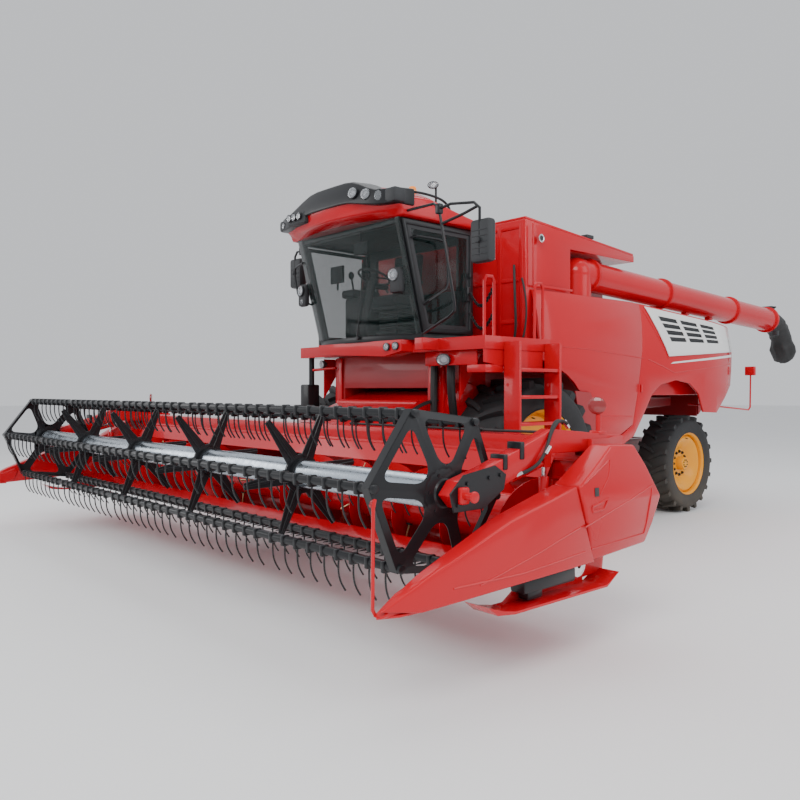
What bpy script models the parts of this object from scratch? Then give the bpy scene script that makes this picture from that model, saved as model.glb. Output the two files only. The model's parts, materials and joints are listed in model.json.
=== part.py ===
"""Combine harvester with a raised grain header.

Metres, +Z up, ground at z = 0, front at -Y, the machine's left at +X.
"""
import math

import bmesh
import bpy
from mathutils import Matrix, Vector

# Overall layout
CONTACT_GAP = 0.0003
PIN_GAP = 0.0006
SEAM_GAP = 0.006

# Half length of a ram's foot and of its rod eye, as shares of their radii
FOOT_SHARE = 1.05
EYE_SHARE = 1.1

# Front drive wheels
FRONT_AXLE_Y = -1.554
FRONT_TYRE_RADIUS = 0.93
FRONT_TYRE_WIDTH = 0.70
FRONT_RIM_RADIUS = 0.575
FRONT_WHEEL_X = 1.35

# Rear steered wheels
REAR_AXLE_Y = 2.13
REAR_TYRE_RADIUS = 0.686
REAR_TYRE_WIDTH = 0.48
REAR_RIM_RADIUS = 0.425
REAR_WHEEL_X = 1.156
KINGPIN_X = 0.80
KINGPIN_RADIUS = 0.055
REAR_BEAM_HEIGHT = 0.18
FORK_REACH = 0.105
FORK_PLATE = 0.034

RIM_WALL = 0.022
FRONT_DISH = 0.02
REAR_DISH = 0.04
WHEEL_STEPS = 24

# Chassis and threshing body
RAIL_X = 0.48
RAIL_WIDTH = 0.12
RAIL_BOTTOM = 0.84
RAIL_TOP = 1.00
FRONT_AXLE_TUBE_RADIUS = 0.13
BODY_HALF_WIDTH = 0.86
BODY_BOTTOM = 1.08
BODY_FRONT_Y = -2.40
BODY_REAR_Y = 2.55
BODY_REAR_TOP = 1.62

# Operator platform and cab
PLATFORM_BOTTOM = 2.13
PLATFORM_TOP = 2.26
PLATFORM_FRONT_Y = -2.62
PLATFORM_REAR_Y = -1.60
PLATFORM_LEFT_X = 1.76
PLATFORM_RIGHT_X = -1.36
HOOP_TOP = 2.85
HOOP_TUBE_RADIUS = 0.018
CAB_HALF_WIDTH = 0.90
CAB_REAR_Y = -1.88
CAB_FLOOR_THICKNESS = 0.06
PILLAR_BASE_Y = -2.64
PILLAR_TOP_Y = -2.97
CAB_EAVE = 3.50
WINDSCREEN_BULGE = 0.17
GLASS_THICKNESS = 0.008
PILLAR_SIZE = 0.07
ROOF_HALF_WIDTH = 1.0
ROOF_TOP_FRONT = 3.97
ROOF_TOP_REAR = 3.67
SEAT_WIDTH = 0.52

# Grain tank
TANK_HALF_WIDTH = 1.42
TANK_FRONT_Y = -1.58
TANK_REAR_Y = 0.60
TANK_BOTTOM = 2.28
TANK_TOP_FRONT = 3.60
TANK_TOP_REAR = 3.44
TANK_WALL = 0.03
TANK_COVER_THICKNESS = 0.03
ELBOW_BAY_Y = -0.76
ELBOW_BAY_X = 0.96
ELBOW_BAY_FLOOR = 2.85
ELBOW_BAY_TOP = 3.36

# Unloading auger
AUGER_AXIS_X = 1.27
AUGER_AXIS_Y = -0.45
AUGER_AXIS_Z = 3.13
AUGER_END_Y = 4.92
AUGER_END_Z = 2.90
AUGER_RADIUS = 0.185
AUGER_FLANGE_RADIUS = 0.21
SPOUT_REACH = 0.72
SPOUT_DROP = 0.62

# Side panels
PANEL_TOP = 2.83
PANEL_REAR_TOP = 2.68
PANEL_REAR_Y = 3.30
PANEL_THICKNESS = 0.03
PANEL_FRONT_Y = -1.50
PANEL_SEAM_Y = 0.615
PANEL_HINGE_X = 1.47
HOOD_HALF_WIDTH = 1.36
HOOD_WALL = 0.035
ARCH_RADIUS = 1.10

# Feeder house
FEEDER_PIVOT_Y = -2.10
FEEDER_PIVOT_Z = 1.42
FEEDER_HEEL_RADIUS = 0.30
FEEDER_HALF_WIDTH = 0.70
PIVOT_SIDE_GAP = 0.03
FEEDER_MOUTH_TOP = 1.15
FEEDER_MOUTH_BOTTOM = 0.60
LIFT_X = 0.55
LIFT_BASE = (-1.80, 0.56)
LIFT_EYE = (-3.05, 0.70)
LIFT_BARREL_LENGTH = 0.86
LIFT_ROD_START = 0.24
LIFT_BARREL_RADIUS = 0.06
LIFT_ROD_RADIUS = 0.032

# Header
HEADER_SIDE_X = 3.735
HEADER_SHEET = 0.015
HEADER_BACK_Y = -3.72
HEADER_BEAM_TOP = 1.39
HEADER_BEAM_DEPTH = 0.20
KNIFE_Y = -4.53
KNIFE_Z = 0.53
TABLE_AUGER_Y = -4.05
TABLE_AUGER_Z = 0.83
TABLE_AUGER_RADIUS = 0.30
TABLE_AUGER_TUBE = 0.17
TABLE_AUGER_HALF_LENGTH = 3.56
TABLE_AUGER_CENTRE_GAP = 0.70
FLIGHT_PITCH = 0.52
FLIGHT_THICKNESS = 0.012
TROUGH_CLEARANCE = 0.03
DIVIDER_WIDTH = 0.19
DIVIDER_NOSE_Y = -5.72
SKID_BOTTOM = 0.42

# Reel
REEL_Y = -5.0
REEL_Z = 1.115
REEL_RADIUS = 0.515
REEL_HALF_LENGTH = 3.55
REEL_TUBE_RADIUS = 0.10
REEL_SPIDER_THICKNESS = 0.024
REEL_SPIDERS = 6
BAT_COUNT = 6
BAT_PHASE = math.radians(-7.0)
BAT_RADIUS = 0.030
TINE_LENGTH = 0.23
TINE_PITCH = 0.15
TINE_WIDTH = 0.012
ARM_INNER_X = 3.60
ARM_WIDTH = 0.10
ARM_PIVOT_Y = -3.38
ARM_PIVOT_Z = 1.35
REEL_LIFT_BASE = (-4.17, 0.74)
REEL_LIFT_EYE = (-4.15, 1.25)
REEL_BARREL_LENGTH = 0.42
REEL_ROD_START = 0.11
REEL_BARREL_RADIUS = 0.034
REEL_ROD_RADIUS = 0.016

for old in list(bpy.data.objects):
    bpy.data.objects.remove(old, do_unlink=True)

parts = bpy.data.collections.new("combine_harvester")
helpers = bpy.data.collections.new("cutters")
bpy.context.scene.collection.children.link(parts)
bpy.context.scene.collection.children.link(helpers)


def material(name, colour, roughness, metallic=0.0):
    made = bpy.data.materials.new(name)
    made.use_nodes = True
    shader = made.node_tree.nodes["Principled BSDF"]
    shader.inputs["Base Color"].default_value = (*colour, 1.0)
    shader.inputs["Roughness"].default_value = roughness
    shader.inputs["Metallic"].default_value = metallic
    return made


RED = material("red_paint", (0.62, 0.01, 0.02), 0.25)
DARK_RED = material("dark_red_paint", (0.30, 0.008, 0.012), 0.40)
BLACK = material("black_paint", (0.02, 0.02, 0.022), 0.40)
RUBBER = material("tyre_rubber", (0.025, 0.026, 0.03), 0.85)
YELLOW = material("yellow_rim", (0.80, 0.33, 0.01), 0.35)
STEEL = material("galvanised_steel", (0.60, 0.63, 0.66), 0.35, 0.8)
GLASS = material("tinted_glass", (0.05, 0.11, 0.09), 0.05)
FABRIC = material("seat_cloth", (0.04, 0.04, 0.045), 0.90)


# ---- shapes, each returned as a bmesh in world coordinates ----

def box(low, high):
    """A box between two corners."""
    shape = bmesh.new()
    bmesh.ops.create_cube(shape, size=1.0)
    size = [b - a for a, b in zip(low, high)]
    middle = [(a + b) / 2 for a, b in zip(low, high)]
    bmesh.ops.scale(shape, vec=size, verts=shape.verts)
    bmesh.ops.translate(shape, vec=middle, verts=shape.verts)
    return shape


def bar(start, end, radius, sides=16, end_radius=None):
    """A round bar from start to end."""
    start, end = Vector(start), Vector(end)
    along = end - start
    shape = bmesh.new()
    bmesh.ops.create_cone(
        shape, cap_ends=True, segments=sides, radius1=radius,
        radius2=radius if end_radius is None else end_radius, depth=along.length,
    )
    turn = along.to_track_quat("Z", "Y").to_matrix().to_4x4()
    shape.transform(Matrix.Translation((start + end) / 2) @ turn)
    return shape


PLANES = {
    "X": Matrix(((0, 0, 1, 0), (1, 0, 0, 0), (0, 1, 0, 0), (0, 0, 0, 1))),
    "Y": Matrix(((1, 0, 0, 0), (0, 0, -1, 0), (0, 1, 0, 0), (0, 0, 0, 1))),
    "Z": Matrix.Identity(4),
}


def mesh_from_curve(curve):
    """The curve's mesh with its caps welded on."""
    holder = bpy.data.objects.new(curve.name, curve)
    helpers.objects.link(holder)
    bpy.context.view_layer.update()
    graph = bpy.context.evaluated_depsgraph_get()
    mesh = bpy.data.meshes.new_from_object(holder.evaluated_get(graph))
    shape = bmesh.new()
    shape.from_mesh(mesh)
    bmesh.ops.remove_doubles(shape, verts=shape.verts, dist=0.00002)
    bpy.data.objects.remove(holder)
    bpy.data.curves.remove(curve)
    bpy.data.meshes.remove(mesh)
    return shape


def slab(outline, axis, low, high):
    """A flat outline given in the two other axes, made solid from low to high along this axis."""
    curve = bpy.data.curves.new("outline", "CURVE")
    curve.dimensions = "2D"
    curve.fill_mode = "BOTH"
    curve.extrude = (high - low) / 2
    spline = curve.splines.new("POLY")
    spline.points.add(len(outline) - 1)
    for point, (u, v) in zip(spline.points, outline):
        point.co = (u, v, 0, 1)
    spline.use_cyclic_u = True
    shape = mesh_from_curve(curve)
    middle = {"X": Vector((1, 0, 0)), "Y": Vector((0, 1, 0)), "Z": Vector((0, 0, 1))}[axis]
    shape.transform(Matrix.Translation(middle * (low + high) / 2) @ PLANES[axis])
    return shape


def tube(points, radius, resolution=1):
    """A bent round tube through the points."""
    curve = bpy.data.curves.new("route", "CURVE")
    curve.dimensions = "3D"
    curve.bevel_depth = radius
    curve.bevel_resolution = resolution
    curve.use_fill_caps = True
    spline = curve.splines.new("POLY")
    spline.points.add(len(points) - 1)
    for point, place in zip(spline.points, points):
        point.co = (*place, 1)
    return mesh_from_curve(curve)


def arc(centre, radius, start, end, count):
    """Points along an arc, angles in degrees."""
    steps = [start + (end - start) * i / (count - 1) for i in range(count)]
    return [
        (centre[0] + radius * math.cos(math.radians(a)), centre[1] + radius * math.sin(math.radians(a)))
        for a in steps
    ]


def sliced(shape, axis, levels):
    """The shape with extra edge loops at these levels, so that it can be bent."""
    for level in levels:
        bmesh.ops.bisect_plane(
            shape, geom=shape.verts[:] + shape.edges[:] + shape.faces[:],
            plane_co=Vector([level if a == axis else 0 for a in "XYZ"]),
            plane_no=Vector([1 if a == axis else 0 for a in "XYZ"]),
        )
    return shape


def mirrored(shape, side):
    """The shape as it is on the left (side 1), or turned to the right (side -1)."""
    if side < 0:
        bmesh.ops.scale(shape, vec=(-1, 1, 1), verts=shape.verts)
        bmesh.ops.reverse_faces(shape, faces=shape.faces)
    return shape


# ---- objects ----

def add_object(name, shape, collection):
    bmesh.ops.recalc_face_normals(shape, faces=shape.faces)
    if shape.calc_volume(signed=True) < 0:
        bmesh.ops.reverse_faces(shape, faces=shape.faces)
    mesh = bpy.data.meshes.new(name)
    shape.to_mesh(mesh)
    shape.free()
    made = bpy.data.objects.new(name, mesh)
    collection.objects.link(made)
    return made


def add_helper(name, shape):
    made = add_object(name, shape, helpers)
    made.hide_render = True
    made.display_type = "WIRE"
    return made


def part(name, finish, shapes, cuts=(), origin=(0, 0, 0), solver="EXACT"):
    """One sub-part: the shapes joined, less the cuts, with its origin on its joint."""
    made = add_object(name, shapes[0], parts)
    for number, shape in enumerate(shapes[1:]):
        joined = made.modifiers.new(f"join_{number}", "BOOLEAN")
        joined.operation = "UNION"
        joined.solver = solver
        joined.object = add_helper(f"{name}_join_{number}", shape)
    for number, shape in enumerate(cuts):
        taken = made.modifiers.new(f"cut_{number}", "BOOLEAN")
        taken.operation = "DIFFERENCE"
        taken.solver = solver
        taken.object = add_helper(f"{name}_cut_{number}", shape)
    made.data.transform(Matrix.Translation(-Vector(origin)))
    made.location = origin
    made.data.materials.append(finish)
    return made


def turned(name, finish, profile, centre, side):
    """A turned sub-part about X: the profile holds (radius, distance outwards)."""
    shape = bmesh.new()
    corners = [shape.verts.new((radius, 0, out)) for radius, out in profile]
    for a, b in zip(corners, corners[1:]):
        shape.edges.new((a, b))
    if profile[0][0] > 0:
        shape.edges.new((corners[-1], corners[0]))
    mesh = bpy.data.meshes.new(name)
    shape.to_mesh(mesh)
    shape.free()
    made = bpy.data.objects.new(name, mesh)
    parts.objects.link(made)
    screw = made.modifiers.new("turn", "SCREW")
    screw.axis = "Z"
    screw.steps = WHEEL_STEPS
    screw.render_steps = WHEEL_STEPS
    screw.use_merge_vertices = True
    screw.merge_threshold = 0.0001
    made.location = centre
    made.rotation_euler = (0, side * math.pi / 2, 0)
    made.data.materials.append(finish)
    return made


# ---- wheels ----

def tyre_profile(radius, width, rim):
    half = width / 2
    return [
        (radius, half * 0.80), (radius, -half * 0.80), (radius - 0.07, -half),
        (rim + 0.10, -half), (rim, -half * 0.86), (rim, half * 0.86),
        (rim + 0.10, half), (radius - 0.07, half),
    ]


def rim_profile(radius, width, dish, hub):
    """The barrel, the dished disc and the hub. dish is where the disc meets the hub."""
    half = width / 2 * 0.86
    outer = radius - CONTACT_GAP
    inner = outer - RIM_WALL
    return [
        (0, dish + 0.10), (hub * 0.55, dish + 0.10), (hub * 0.6, dish + RIM_WALL), (hub * 1.5,
                                                                                    dish + RIM_WALL),
        (inner, dish + 0.06 + RIM_WALL), (inner, half), (outer, half), (outer, -half), (inner, -half),
        (inner, dish + 0.06), (hub * 1.5, dish), (0, dish),
    ]


def wheels():
    for side, word in ((1, "left"), (-1, "right")):
        front = (side * FRONT_WHEEL_X, FRONT_AXLE_Y, FRONT_TYRE_RADIUS)
        rear = (side * REAR_WHEEL_X, REAR_AXLE_Y, REAR_TYRE_RADIUS)
        turned(f"front_tyre_{word}", RUBBER,
               tyre_profile(FRONT_TYRE_RADIUS, FRONT_TYRE_WIDTH, FRONT_RIM_RADIUS), front, side)
        turned(f"rear_tyre_{word}", RUBBER,
               tyre_profile(REAR_TYRE_RADIUS, REAR_TYRE_WIDTH, REAR_RIM_RADIUS), rear, side)
        turned(f"front_rim_{word}", YELLOW,
               rim_profile(FRONT_RIM_RADIUS, FRONT_TYRE_WIDTH, FRONT_DISH, 0.16), front, side)
        turned(f"rear_rim_{word}", YELLOW,
               rim_profile(REAR_RIM_RADIUS, REAR_TYRE_WIDTH, REAR_DISH, 0.13), rear, side)


# ---- chassis, axles, body ----

def chassis():
    shapes = []
    for side in (-1, 1):
        shapes.append(box((side * RAIL_X - RAIL_WIDTH / 2, BODY_FRONT_Y + 0.25, RAIL_BOTTOM),
                          (side * RAIL_X + RAIL_WIDTH / 2, REAR_AXLE_Y + 0.55, RAIL_TOP)))
    hub_face = FRONT_WHEEL_X + FRONT_DISH - PIN_GAP
    axle = bar((-hub_face, FRONT_AXLE_Y, FRONT_TYRE_RADIUS), (hub_face, FRONT_AXLE_Y, FRONT_TYRE_RADIUS),
               FRONT_AXLE_TUBE_RADIUS, 16)
    shapes.insert(0, axle)
    for y in (BODY_FRONT_Y + 0.35, FRONT_AXLE_Y, -0.4, 0.8):
        shapes.append(box((-0.74, y - 0.07, RAIL_TOP - 0.10), (0.74, y + 0.07, BODY_BOTTOM - CONTACT_GAP)))
    rear_seat = box((-0.54, REAR_AXLE_Y - 0.10, REAR_TYRE_RADIUS + FORK_REACH),
                    (0.54, REAR_AXLE_Y + 0.10, RAIL_TOP))
    shapes.append(rear_seat)
    shapes.append(box((-0.54, 2.50, RAIL_BOTTOM), (0.54, 2.64, RAIL_TOP)))
    # lift cylinder foot plates under the rails
    for side in (-1, 1):
        y, z = LIFT_BASE
        for out in (-1, 1):
            middle = side * LIFT_X + out * (FOOT_SHARE * LIFT_BARREL_RADIUS + PIN_GAP + 0.010)
            shapes.append(box((middle - 0.010, y - 0.07, z - 0.05), (middle + 0.010, y + 0.07,
                                                                     RAIL_BOTTOM + 0.05)))
    # cross beam that carries the foot plates
    shapes.append(box((-0.70, LIFT_BASE[0] - 0.07, RAIL_BOTTOM + 0.002),
                      (0.70, LIFT_BASE[0] + 0.07, RAIL_BOTTOM + 0.09)))
    # towing hitch plate
    shapes.append(box((-0.15, 2.60, RAIL_BOTTOM + 0.02), (0.15, 2.86, RAIL_BOTTOM + 0.08)))
    part("chassis_frame", DARK_RED, shapes)


def rear_axle():
    half = REAR_BEAM_HEIGHT / 2
    z = REAR_TYRE_RADIUS
    end = KINGPIN_X - KINGPIN_RADIUS - 0.03
    beam = box((-end, REAR_AXLE_Y - 0.09, z - half), (end, REAR_AXLE_Y + 0.09, z + half))
    shapes = [beam, box((-0.12, REAR_AXLE_Y - 0.06, z + half - 0.01),
                        (0.12, REAR_AXLE_Y + 0.06, z + FORK_REACH - CONTACT_GAP))]
    for side in (-1, 1):
        for level in (-1, 1):
            low = z + level * FORK_REACH - FORK_PLATE / 2
            shapes.append(mirrored(box((KINGPIN_X - 0.22, REAR_AXLE_Y - 0.07, low),
                                       (KINGPIN_X + 0.06, REAR_AXLE_Y + 0.07, low + FORK_PLATE)), side))
    part("rear_axle", BLACK, shapes)


def knuckles():
    z = REAR_TYRE_RADIUS
    for side, word in ((1, "left"), (-1, "right")):
        reach = FORK_REACH - FORK_PLATE / 2 - PIN_GAP
        pin = bar((KINGPIN_X, REAR_AXLE_Y, z - reach), (KINGPIN_X, REAR_AXLE_Y, z + reach), KINGPIN_RADIUS,
                  16)
        spindle = bar((KINGPIN_X, REAR_AXLE_Y, z), (REAR_WHEEL_X + REAR_DISH - PIN_GAP, REAR_AXLE_Y, z),
                      0.045, 12)
        part(f"knuckle_{word}", BLACK, [mirrored(pin, side), mirrored(spindle, side)],
             origin=(side * KINGPIN_X, REAR_AXLE_Y, z))


def threshing_body():
    """The closed body between the wheels, recessed in front for the heel of the feeder house."""
    pivot = (FEEDER_PIVOT_Y, FEEDER_PIVOT_Z)
    clear = FEEDER_HEEL_RADIUS + 0.03
    platform_seat = PLATFORM_BOTTOM - CONTACT_GAP
    tank_seat = TANK_BOTTOM - CONTACT_GAP
    step = PLATFORM_REAR_Y + 0.01
    deck = TANK_REAR_Y - 0.01
    outline = [(BODY_FRONT_Y, platform_seat), (BODY_FRONT_Y, BODY_BOTTOM + 0.07), (BODY_FRONT_Y + 0.10,
                                                                                   BODY_BOTTOM),
               (REAR_AXLE_Y - REAR_TYRE_RADIUS - 0.50, BODY_BOTTOM), (REAR_AXLE_Y - REAR_TYRE_RADIUS - 0.02,
                                                                      1.45),
               (BODY_REAR_Y, 1.50), (BODY_REAR_Y, BODY_REAR_TOP),
               (deck, BODY_REAR_TOP), (deck, tank_seat), (step, tank_seat), (step, platform_seat)]
    recess = FEEDER_HALF_WIDTH + PIVOT_SIDE_GAP
    heel = bar((-recess, *pivot), (recess, *pivot), clear, 24)
    mouth = box((-recess, BODY_FRONT_Y - 1, BODY_BOTTOM - 0.1), (recess, FEEDER_PIVOT_Y,
                                                                 FEEDER_PIVOT_Z + clear))
    part("threshing_body", DARK_RED, [slab(outline, "X", -BODY_HALF_WIDTH, BODY_HALF_WIDTH)], [heel, mouth])


def engine():
    part("engine", BLACK, [box((-0.55, 0.78, BODY_REAR_TOP + CONTACT_GAP), (0.55, 1.98, 2.50))])


def rear_hood():
    """Engine deck and rear hood, open below at the back where the straw leaves."""
    front = TANK_REAR_Y + CONTACT_GAP
    wall = HOOD_WALL
    outline = [(front, PANEL_TOP - 0.10), (PANEL_REAR_Y - 0.05, PANEL_REAR_TOP - 0.06),
               (PANEL_REAR_Y, 2.40), (PANEL_REAR_Y - 0.05, 1.80), (PANEL_REAR_Y - 0.45, 1.66), (front, 1.66)]
    inner = [(front - 0.1, PANEL_TOP - 0.10 - wall), (PANEL_REAR_Y - 0.05 - wall,
                                                      PANEL_REAR_TOP - 0.06 - wall),
             (PANEL_REAR_Y - wall, 2.40), (PANEL_REAR_Y - 0.05 - wall, 1.60), (front - 0.1, 1.50)]
    half = HOOD_HALF_WIDTH
    shapes = [slab(outline, "X", -half, half)]
    reach = panel_inner_x(2.64) - PIN_GAP
    for side in (-1, 1):
        shapes.append(mirrored(box((half - 0.01, 0.80, 2.60), (reach, 1.88, 2.64)), side))
    part("rear_hood", RED, shapes, [slab(inner, "X", -half + wall, half - wall)])


# ---- side panels ----

def panel_outer_x(y, z):
    """How far out the side panels stand: crowned in height, drawn in at the tail."""
    height = (z - 2.15) / 0.68
    crown = 1.585 - 0.10 * height * height if z > 2.15 else 1.585 - 0.085 * ((2.15 - z) / 1.15) ** 2
    tail = max(0.0, (y - 2.2) / 1.1)
    nose = max(0.0, (-0.9 - y) / 0.6)
    return crown - 0.14 * tail * tail - 0.03 * nose * nose


PANEL_LEVELS = (1.2, 1.37, 1.7, 2.0, 2.15, 2.3, 2.5, 2.7)


def panel_inner_x(z):
    """Inner face of a side panel's straight length, between its highest bend lines."""
    low, high = (PANEL_LEVELS[-1], PANEL_TOP) if z > PANEL_LEVELS[-1] else PANEL_LEVELS[-2:]
    share = (z - low) / (high - low)
    return (1 - share) * panel_outer_x(0, low) + share * panel_outer_x(0, high) - PANEL_THICKNESS


def side_panel(name, outline, side):
    lengths = (-1.2, -0.9, 1.2, 1.9, 2.2, 2.6, 2.95)
    shape = slab(outline, "X", -PANEL_THICKNESS, 0.0)
    sliced(shape, "Z", PANEL_LEVELS)
    sliced(shape, "Y", lengths)
    for vert in shape.verts:
        vert.co.x += panel_outer_x(vert.co.y, vert.co.z)
    bmesh.ops.triangulate(shape, faces=shape.faces)
    part(name, RED, [mirrored(shape, side)], origin=(side * PANEL_HINGE_X, 0, PANEL_TOP))


def side_panels():
    wheel = (FRONT_AXLE_Y, FRONT_TYRE_RADIUS)
    half_seam = SEAM_GAP / 2
    front = [(PANEL_FRONT_Y, PANEL_TOP), (PANEL_FRONT_Y, 2.10)]
    front += arc(wheel, ARCH_RADIUS, 82, 15, 8)
    front += [(-0.20 - half_seam, 1.02), (0.39 - half_seam, 1.295), (PANEL_SEAM_Y - half_seam, PANEL_TOP)]
    rear = [(PANEL_SEAM_Y + half_seam, PANEL_TOP), (0.39 + half_seam, 1.285), (-0.19 + half_seam, 1.005),
            (0.12, 1.0), (0.45, 1.15), (0.65, 1.45), (0.80, 1.68), (1.0, 1.80), (1.40, 1.86), (1.75, 1.82),
            (2.02, 1.68), (2.20, 1.42), (2.65, 1.40), (PANEL_REAR_Y - 0.08, 1.80), (PANEL_REAR_Y, 2.40),
            (PANEL_REAR_Y - 0.10, PANEL_REAR_TOP)]
    for side, word in ((1, "left"), (-1, "right")):
        side_panel(f"front_side_panel_{word}", front, side)
        side_panel(f"rear_side_panel_{word}", rear, side)


# ---- grain tank and unloading auger ----

def grain_tank():
    """Open-topped hopper with a bay at its left rear for the auger elbow."""
    half = TANK_HALF_WIDTH
    outline = [(TANK_FRONT_Y, TANK_BOTTOM), (TANK_REAR_Y, TANK_BOTTOM), (TANK_REAR_Y, TANK_TOP_REAR),
               (ELBOW_BAY_Y, TANK_TOP_FRONT - 0.06), (TANK_FRONT_Y, TANK_TOP_FRONT)]
    shell = slab(outline, "X", -half, half)
    wall = TANK_WALL
    bay = box((ELBOW_BAY_X, ELBOW_BAY_Y, ELBOW_BAY_FLOOR), (half + 1, TANK_REAR_Y + 1, ELBOW_BAY_TOP))
    low, high = TANK_BOTTOM + 0.05, TANK_TOP_FRONT + 1
    main = box((-half + wall, TANK_FRONT_Y + wall, low), (ELBOW_BAY_X - wall, TANK_REAR_Y - wall, high))
    corner = box((ELBOW_BAY_X - 2 * wall, TANK_FRONT_Y + wall, low), (half - wall, ELBOW_BAY_Y - wall, high))
    shapes = [shell]
    reach = panel_inner_x(2.76) - PIN_GAP
    for side in (-1, 1):
        shapes.append(mirrored(box((half - 0.01, -0.80, 2.72), (reach, 0.50, 2.76)), side))
    part("grain_tank", RED, shapes, [bay, main, corner])


def tank_cover():
    """Flat cover over the hopper, hinged at its rear edge."""
    lift = CONTACT_GAP
    t = TANK_COVER_THICKNESS
    front, mid, rear = TANK_FRONT_Y + 0.01, ELBOW_BAY_Y, TANK_REAR_Y
    low = [(front, TANK_TOP_FRONT), (mid, TANK_TOP_FRONT - 0.06), (rear, TANK_TOP_REAR)]
    outline = [(y, z + lift) for y, z in low] + [(y, z + lift + t) for y, z in reversed(low)]
    part("tank_cover", RED, [slab(outline, "X", -TANK_HALF_WIDTH + 0.01, TANK_HALF_WIDTH - 0.01)],
         origin=(0, TANK_REAR_Y, TANK_TOP_REAR + lift))


def auger_point(y):
    """A point on the unloading tube's centre line."""
    share = (y - AUGER_AXIS_Y) / (AUGER_END_Y - AUGER_AXIS_Y)
    return Vector((AUGER_AXIS_X, y, AUGER_AXIS_Z + share * (AUGER_END_Z - AUGER_AXIS_Z)))


def unloading_auger():
    pivot = Vector((AUGER_AXIS_X, AUGER_AXIS_Y, ELBOW_BAY_FLOOR + CONTACT_GAP))
    run = (auger_point(AUGER_END_Y) - auger_point(AUGER_AXIS_Y)).normalized()
    shapes = [bar(auger_point(AUGER_AXIS_Y), auger_point(AUGER_END_Y), AUGER_RADIUS, 16),
              bar(pivot, (AUGER_AXIS_X, AUGER_AXIS_Y, AUGER_AXIS_Z), AUGER_RADIUS, 16)]
    ball = bmesh.new()
    bmesh.ops.create_uvsphere(ball, u_segments=16, v_segments=8, radius=AUGER_RADIUS + 0.004)
    ball.transform(Matrix.Translation((AUGER_AXIS_X, AUGER_AXIS_Y, AUGER_AXIS_Z)))
    shapes.append(ball)
    for y in (-0.22, 1.50, 3.50, AUGER_END_Y - 0.02):
        middle = auger_point(y)
        shapes.append(bar(middle - run * 0.02, middle + run * 0.02, AUGER_FLANGE_RADIUS, 16))
    part("unloading_tube", RED, shapes, origin=pivot)
    start = auger_point(AUGER_END_Y) + run * (0.0 + CONTACT_GAP)
    end = start + Vector((0, SPOUT_REACH, -SPOUT_DROP))
    bend = start + run * 0.16
    rubber = tube([start, bend, bend + Vector((0, 0.24, -0.10)), bend + Vector((0, 0.42, -0.27)), end],
                  0.17, 2)
    part("unloading_spout", RUBBER, [rubber], origin=pivot)


# ---- platform, cab, ladder ----

def platform():
    floor = box((PLATFORM_RIGHT_X, PLATFORM_FRONT_Y, PLATFORM_BOTTOM), (PLATFORM_LEFT_X, PLATFORM_REAR_Y,
                                                                        PLATFORM_TOP))
    cowl = slab([(-0.74, PLATFORM_TOP), (-0.70, PLATFORM_BOTTOM + 0.02), (0.45, PLATFORM_BOTTOM - 0.04),
                 (0.74, PLATFORM_BOTTOM + 0.01), (0.74, PLATFORM_TOP)], "Y",
                PLATFORM_FRONT_Y - 0.17, PLATFORM_FRONT_Y + 0.05)
    guard_foot = box((1.00, PLATFORM_FRONT_Y - 0.22, PLATFORM_BOTTOM + 0.01),
                     (1.12, PLATFORM_FRONT_Y + 0.05, PLATFORM_TOP - 0.001))
    shapes = [floor, cowl, guard_foot]
    x = PLATFORM_LEFT_X - 0.06
    for y in (PLATFORM_FRONT_Y + 0.06, PLATFORM_REAR_Y - 0.18):
        shapes.append(tube([(x, y, PLATFORM_TOP - 0.02), (x, y, HOOP_TOP - 0.05), (x, y + 0.03, HOOP_TOP),
                            (x, y + 0.11, HOOP_TOP), (x, y + 0.14, HOOP_TOP - 0.05),
                            (x, y + 0.14, PLATFORM_TOP - 0.02)], HOOP_TUBE_RADIUS))
    part("platform", RED, shapes)


def cab_shell():
    """Floor, rear wall and pillars of the cab, with every window open."""
    half = CAB_HALF_WIDTH
    floor_low = PLATFORM_TOP + CONTACT_GAP
    floor_high = floor_low + CAB_FLOOR_THICKNESS
    size = PILLAR_SIZE
    curve = windscreen_plan(0.0)
    floor_plan = [(half, CAB_REAR_Y)] + curve + [(-half, CAB_REAR_Y)]
    floor = slab(floor_plan, "Z", floor_low, floor_high)
    shapes = [floor]
    lean = PILLAR_TOP_Y - PILLAR_BASE_Y
    for side in (-1, 1):
        pillar = [(PILLAR_BASE_Y, floor_low + 0.01), (PILLAR_BASE_Y + size, floor_low + 0.01),
                  (PILLAR_TOP_Y + size, CAB_EAVE), (PILLAR_TOP_Y, CAB_EAVE)]
        shapes.append(mirrored(slab(pillar, "X", half - size, half), side))
        shapes.append(mirrored(box((half - size, CAB_REAR_Y - size, floor_low + 0.01),
                                   (half, CAB_REAR_Y, CAB_EAVE)), side))
        shapes.append(mirrored(box((half - size, PILLAR_TOP_Y + 0.02, CAB_EAVE - 0.06),
                                   (half, CAB_REAR_Y, CAB_EAVE)), side))
    shapes.append(box((-half + 0.01, CAB_REAR_Y - 0.04, floor_low + 0.01), (half - 0.01, CAB_REAR_Y - 0.001,
                                                                            CAB_EAVE - 0.001)))
    shapes.append(box((-half + 0.01, PILLAR_TOP_Y + 0.03, CAB_EAVE - 0.055),
                      (half - 0.01, PILLAR_TOP_Y + 0.09, CAB_EAVE - 0.001)))
    window = box((-0.70, CAB_REAR_Y - 1, 2.85), (0.70, CAB_REAR_Y + 1 - 0.6, 3.36))
    part("cab_shell", BLACK, shapes, [window], solver="MANIFOLD")


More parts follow.
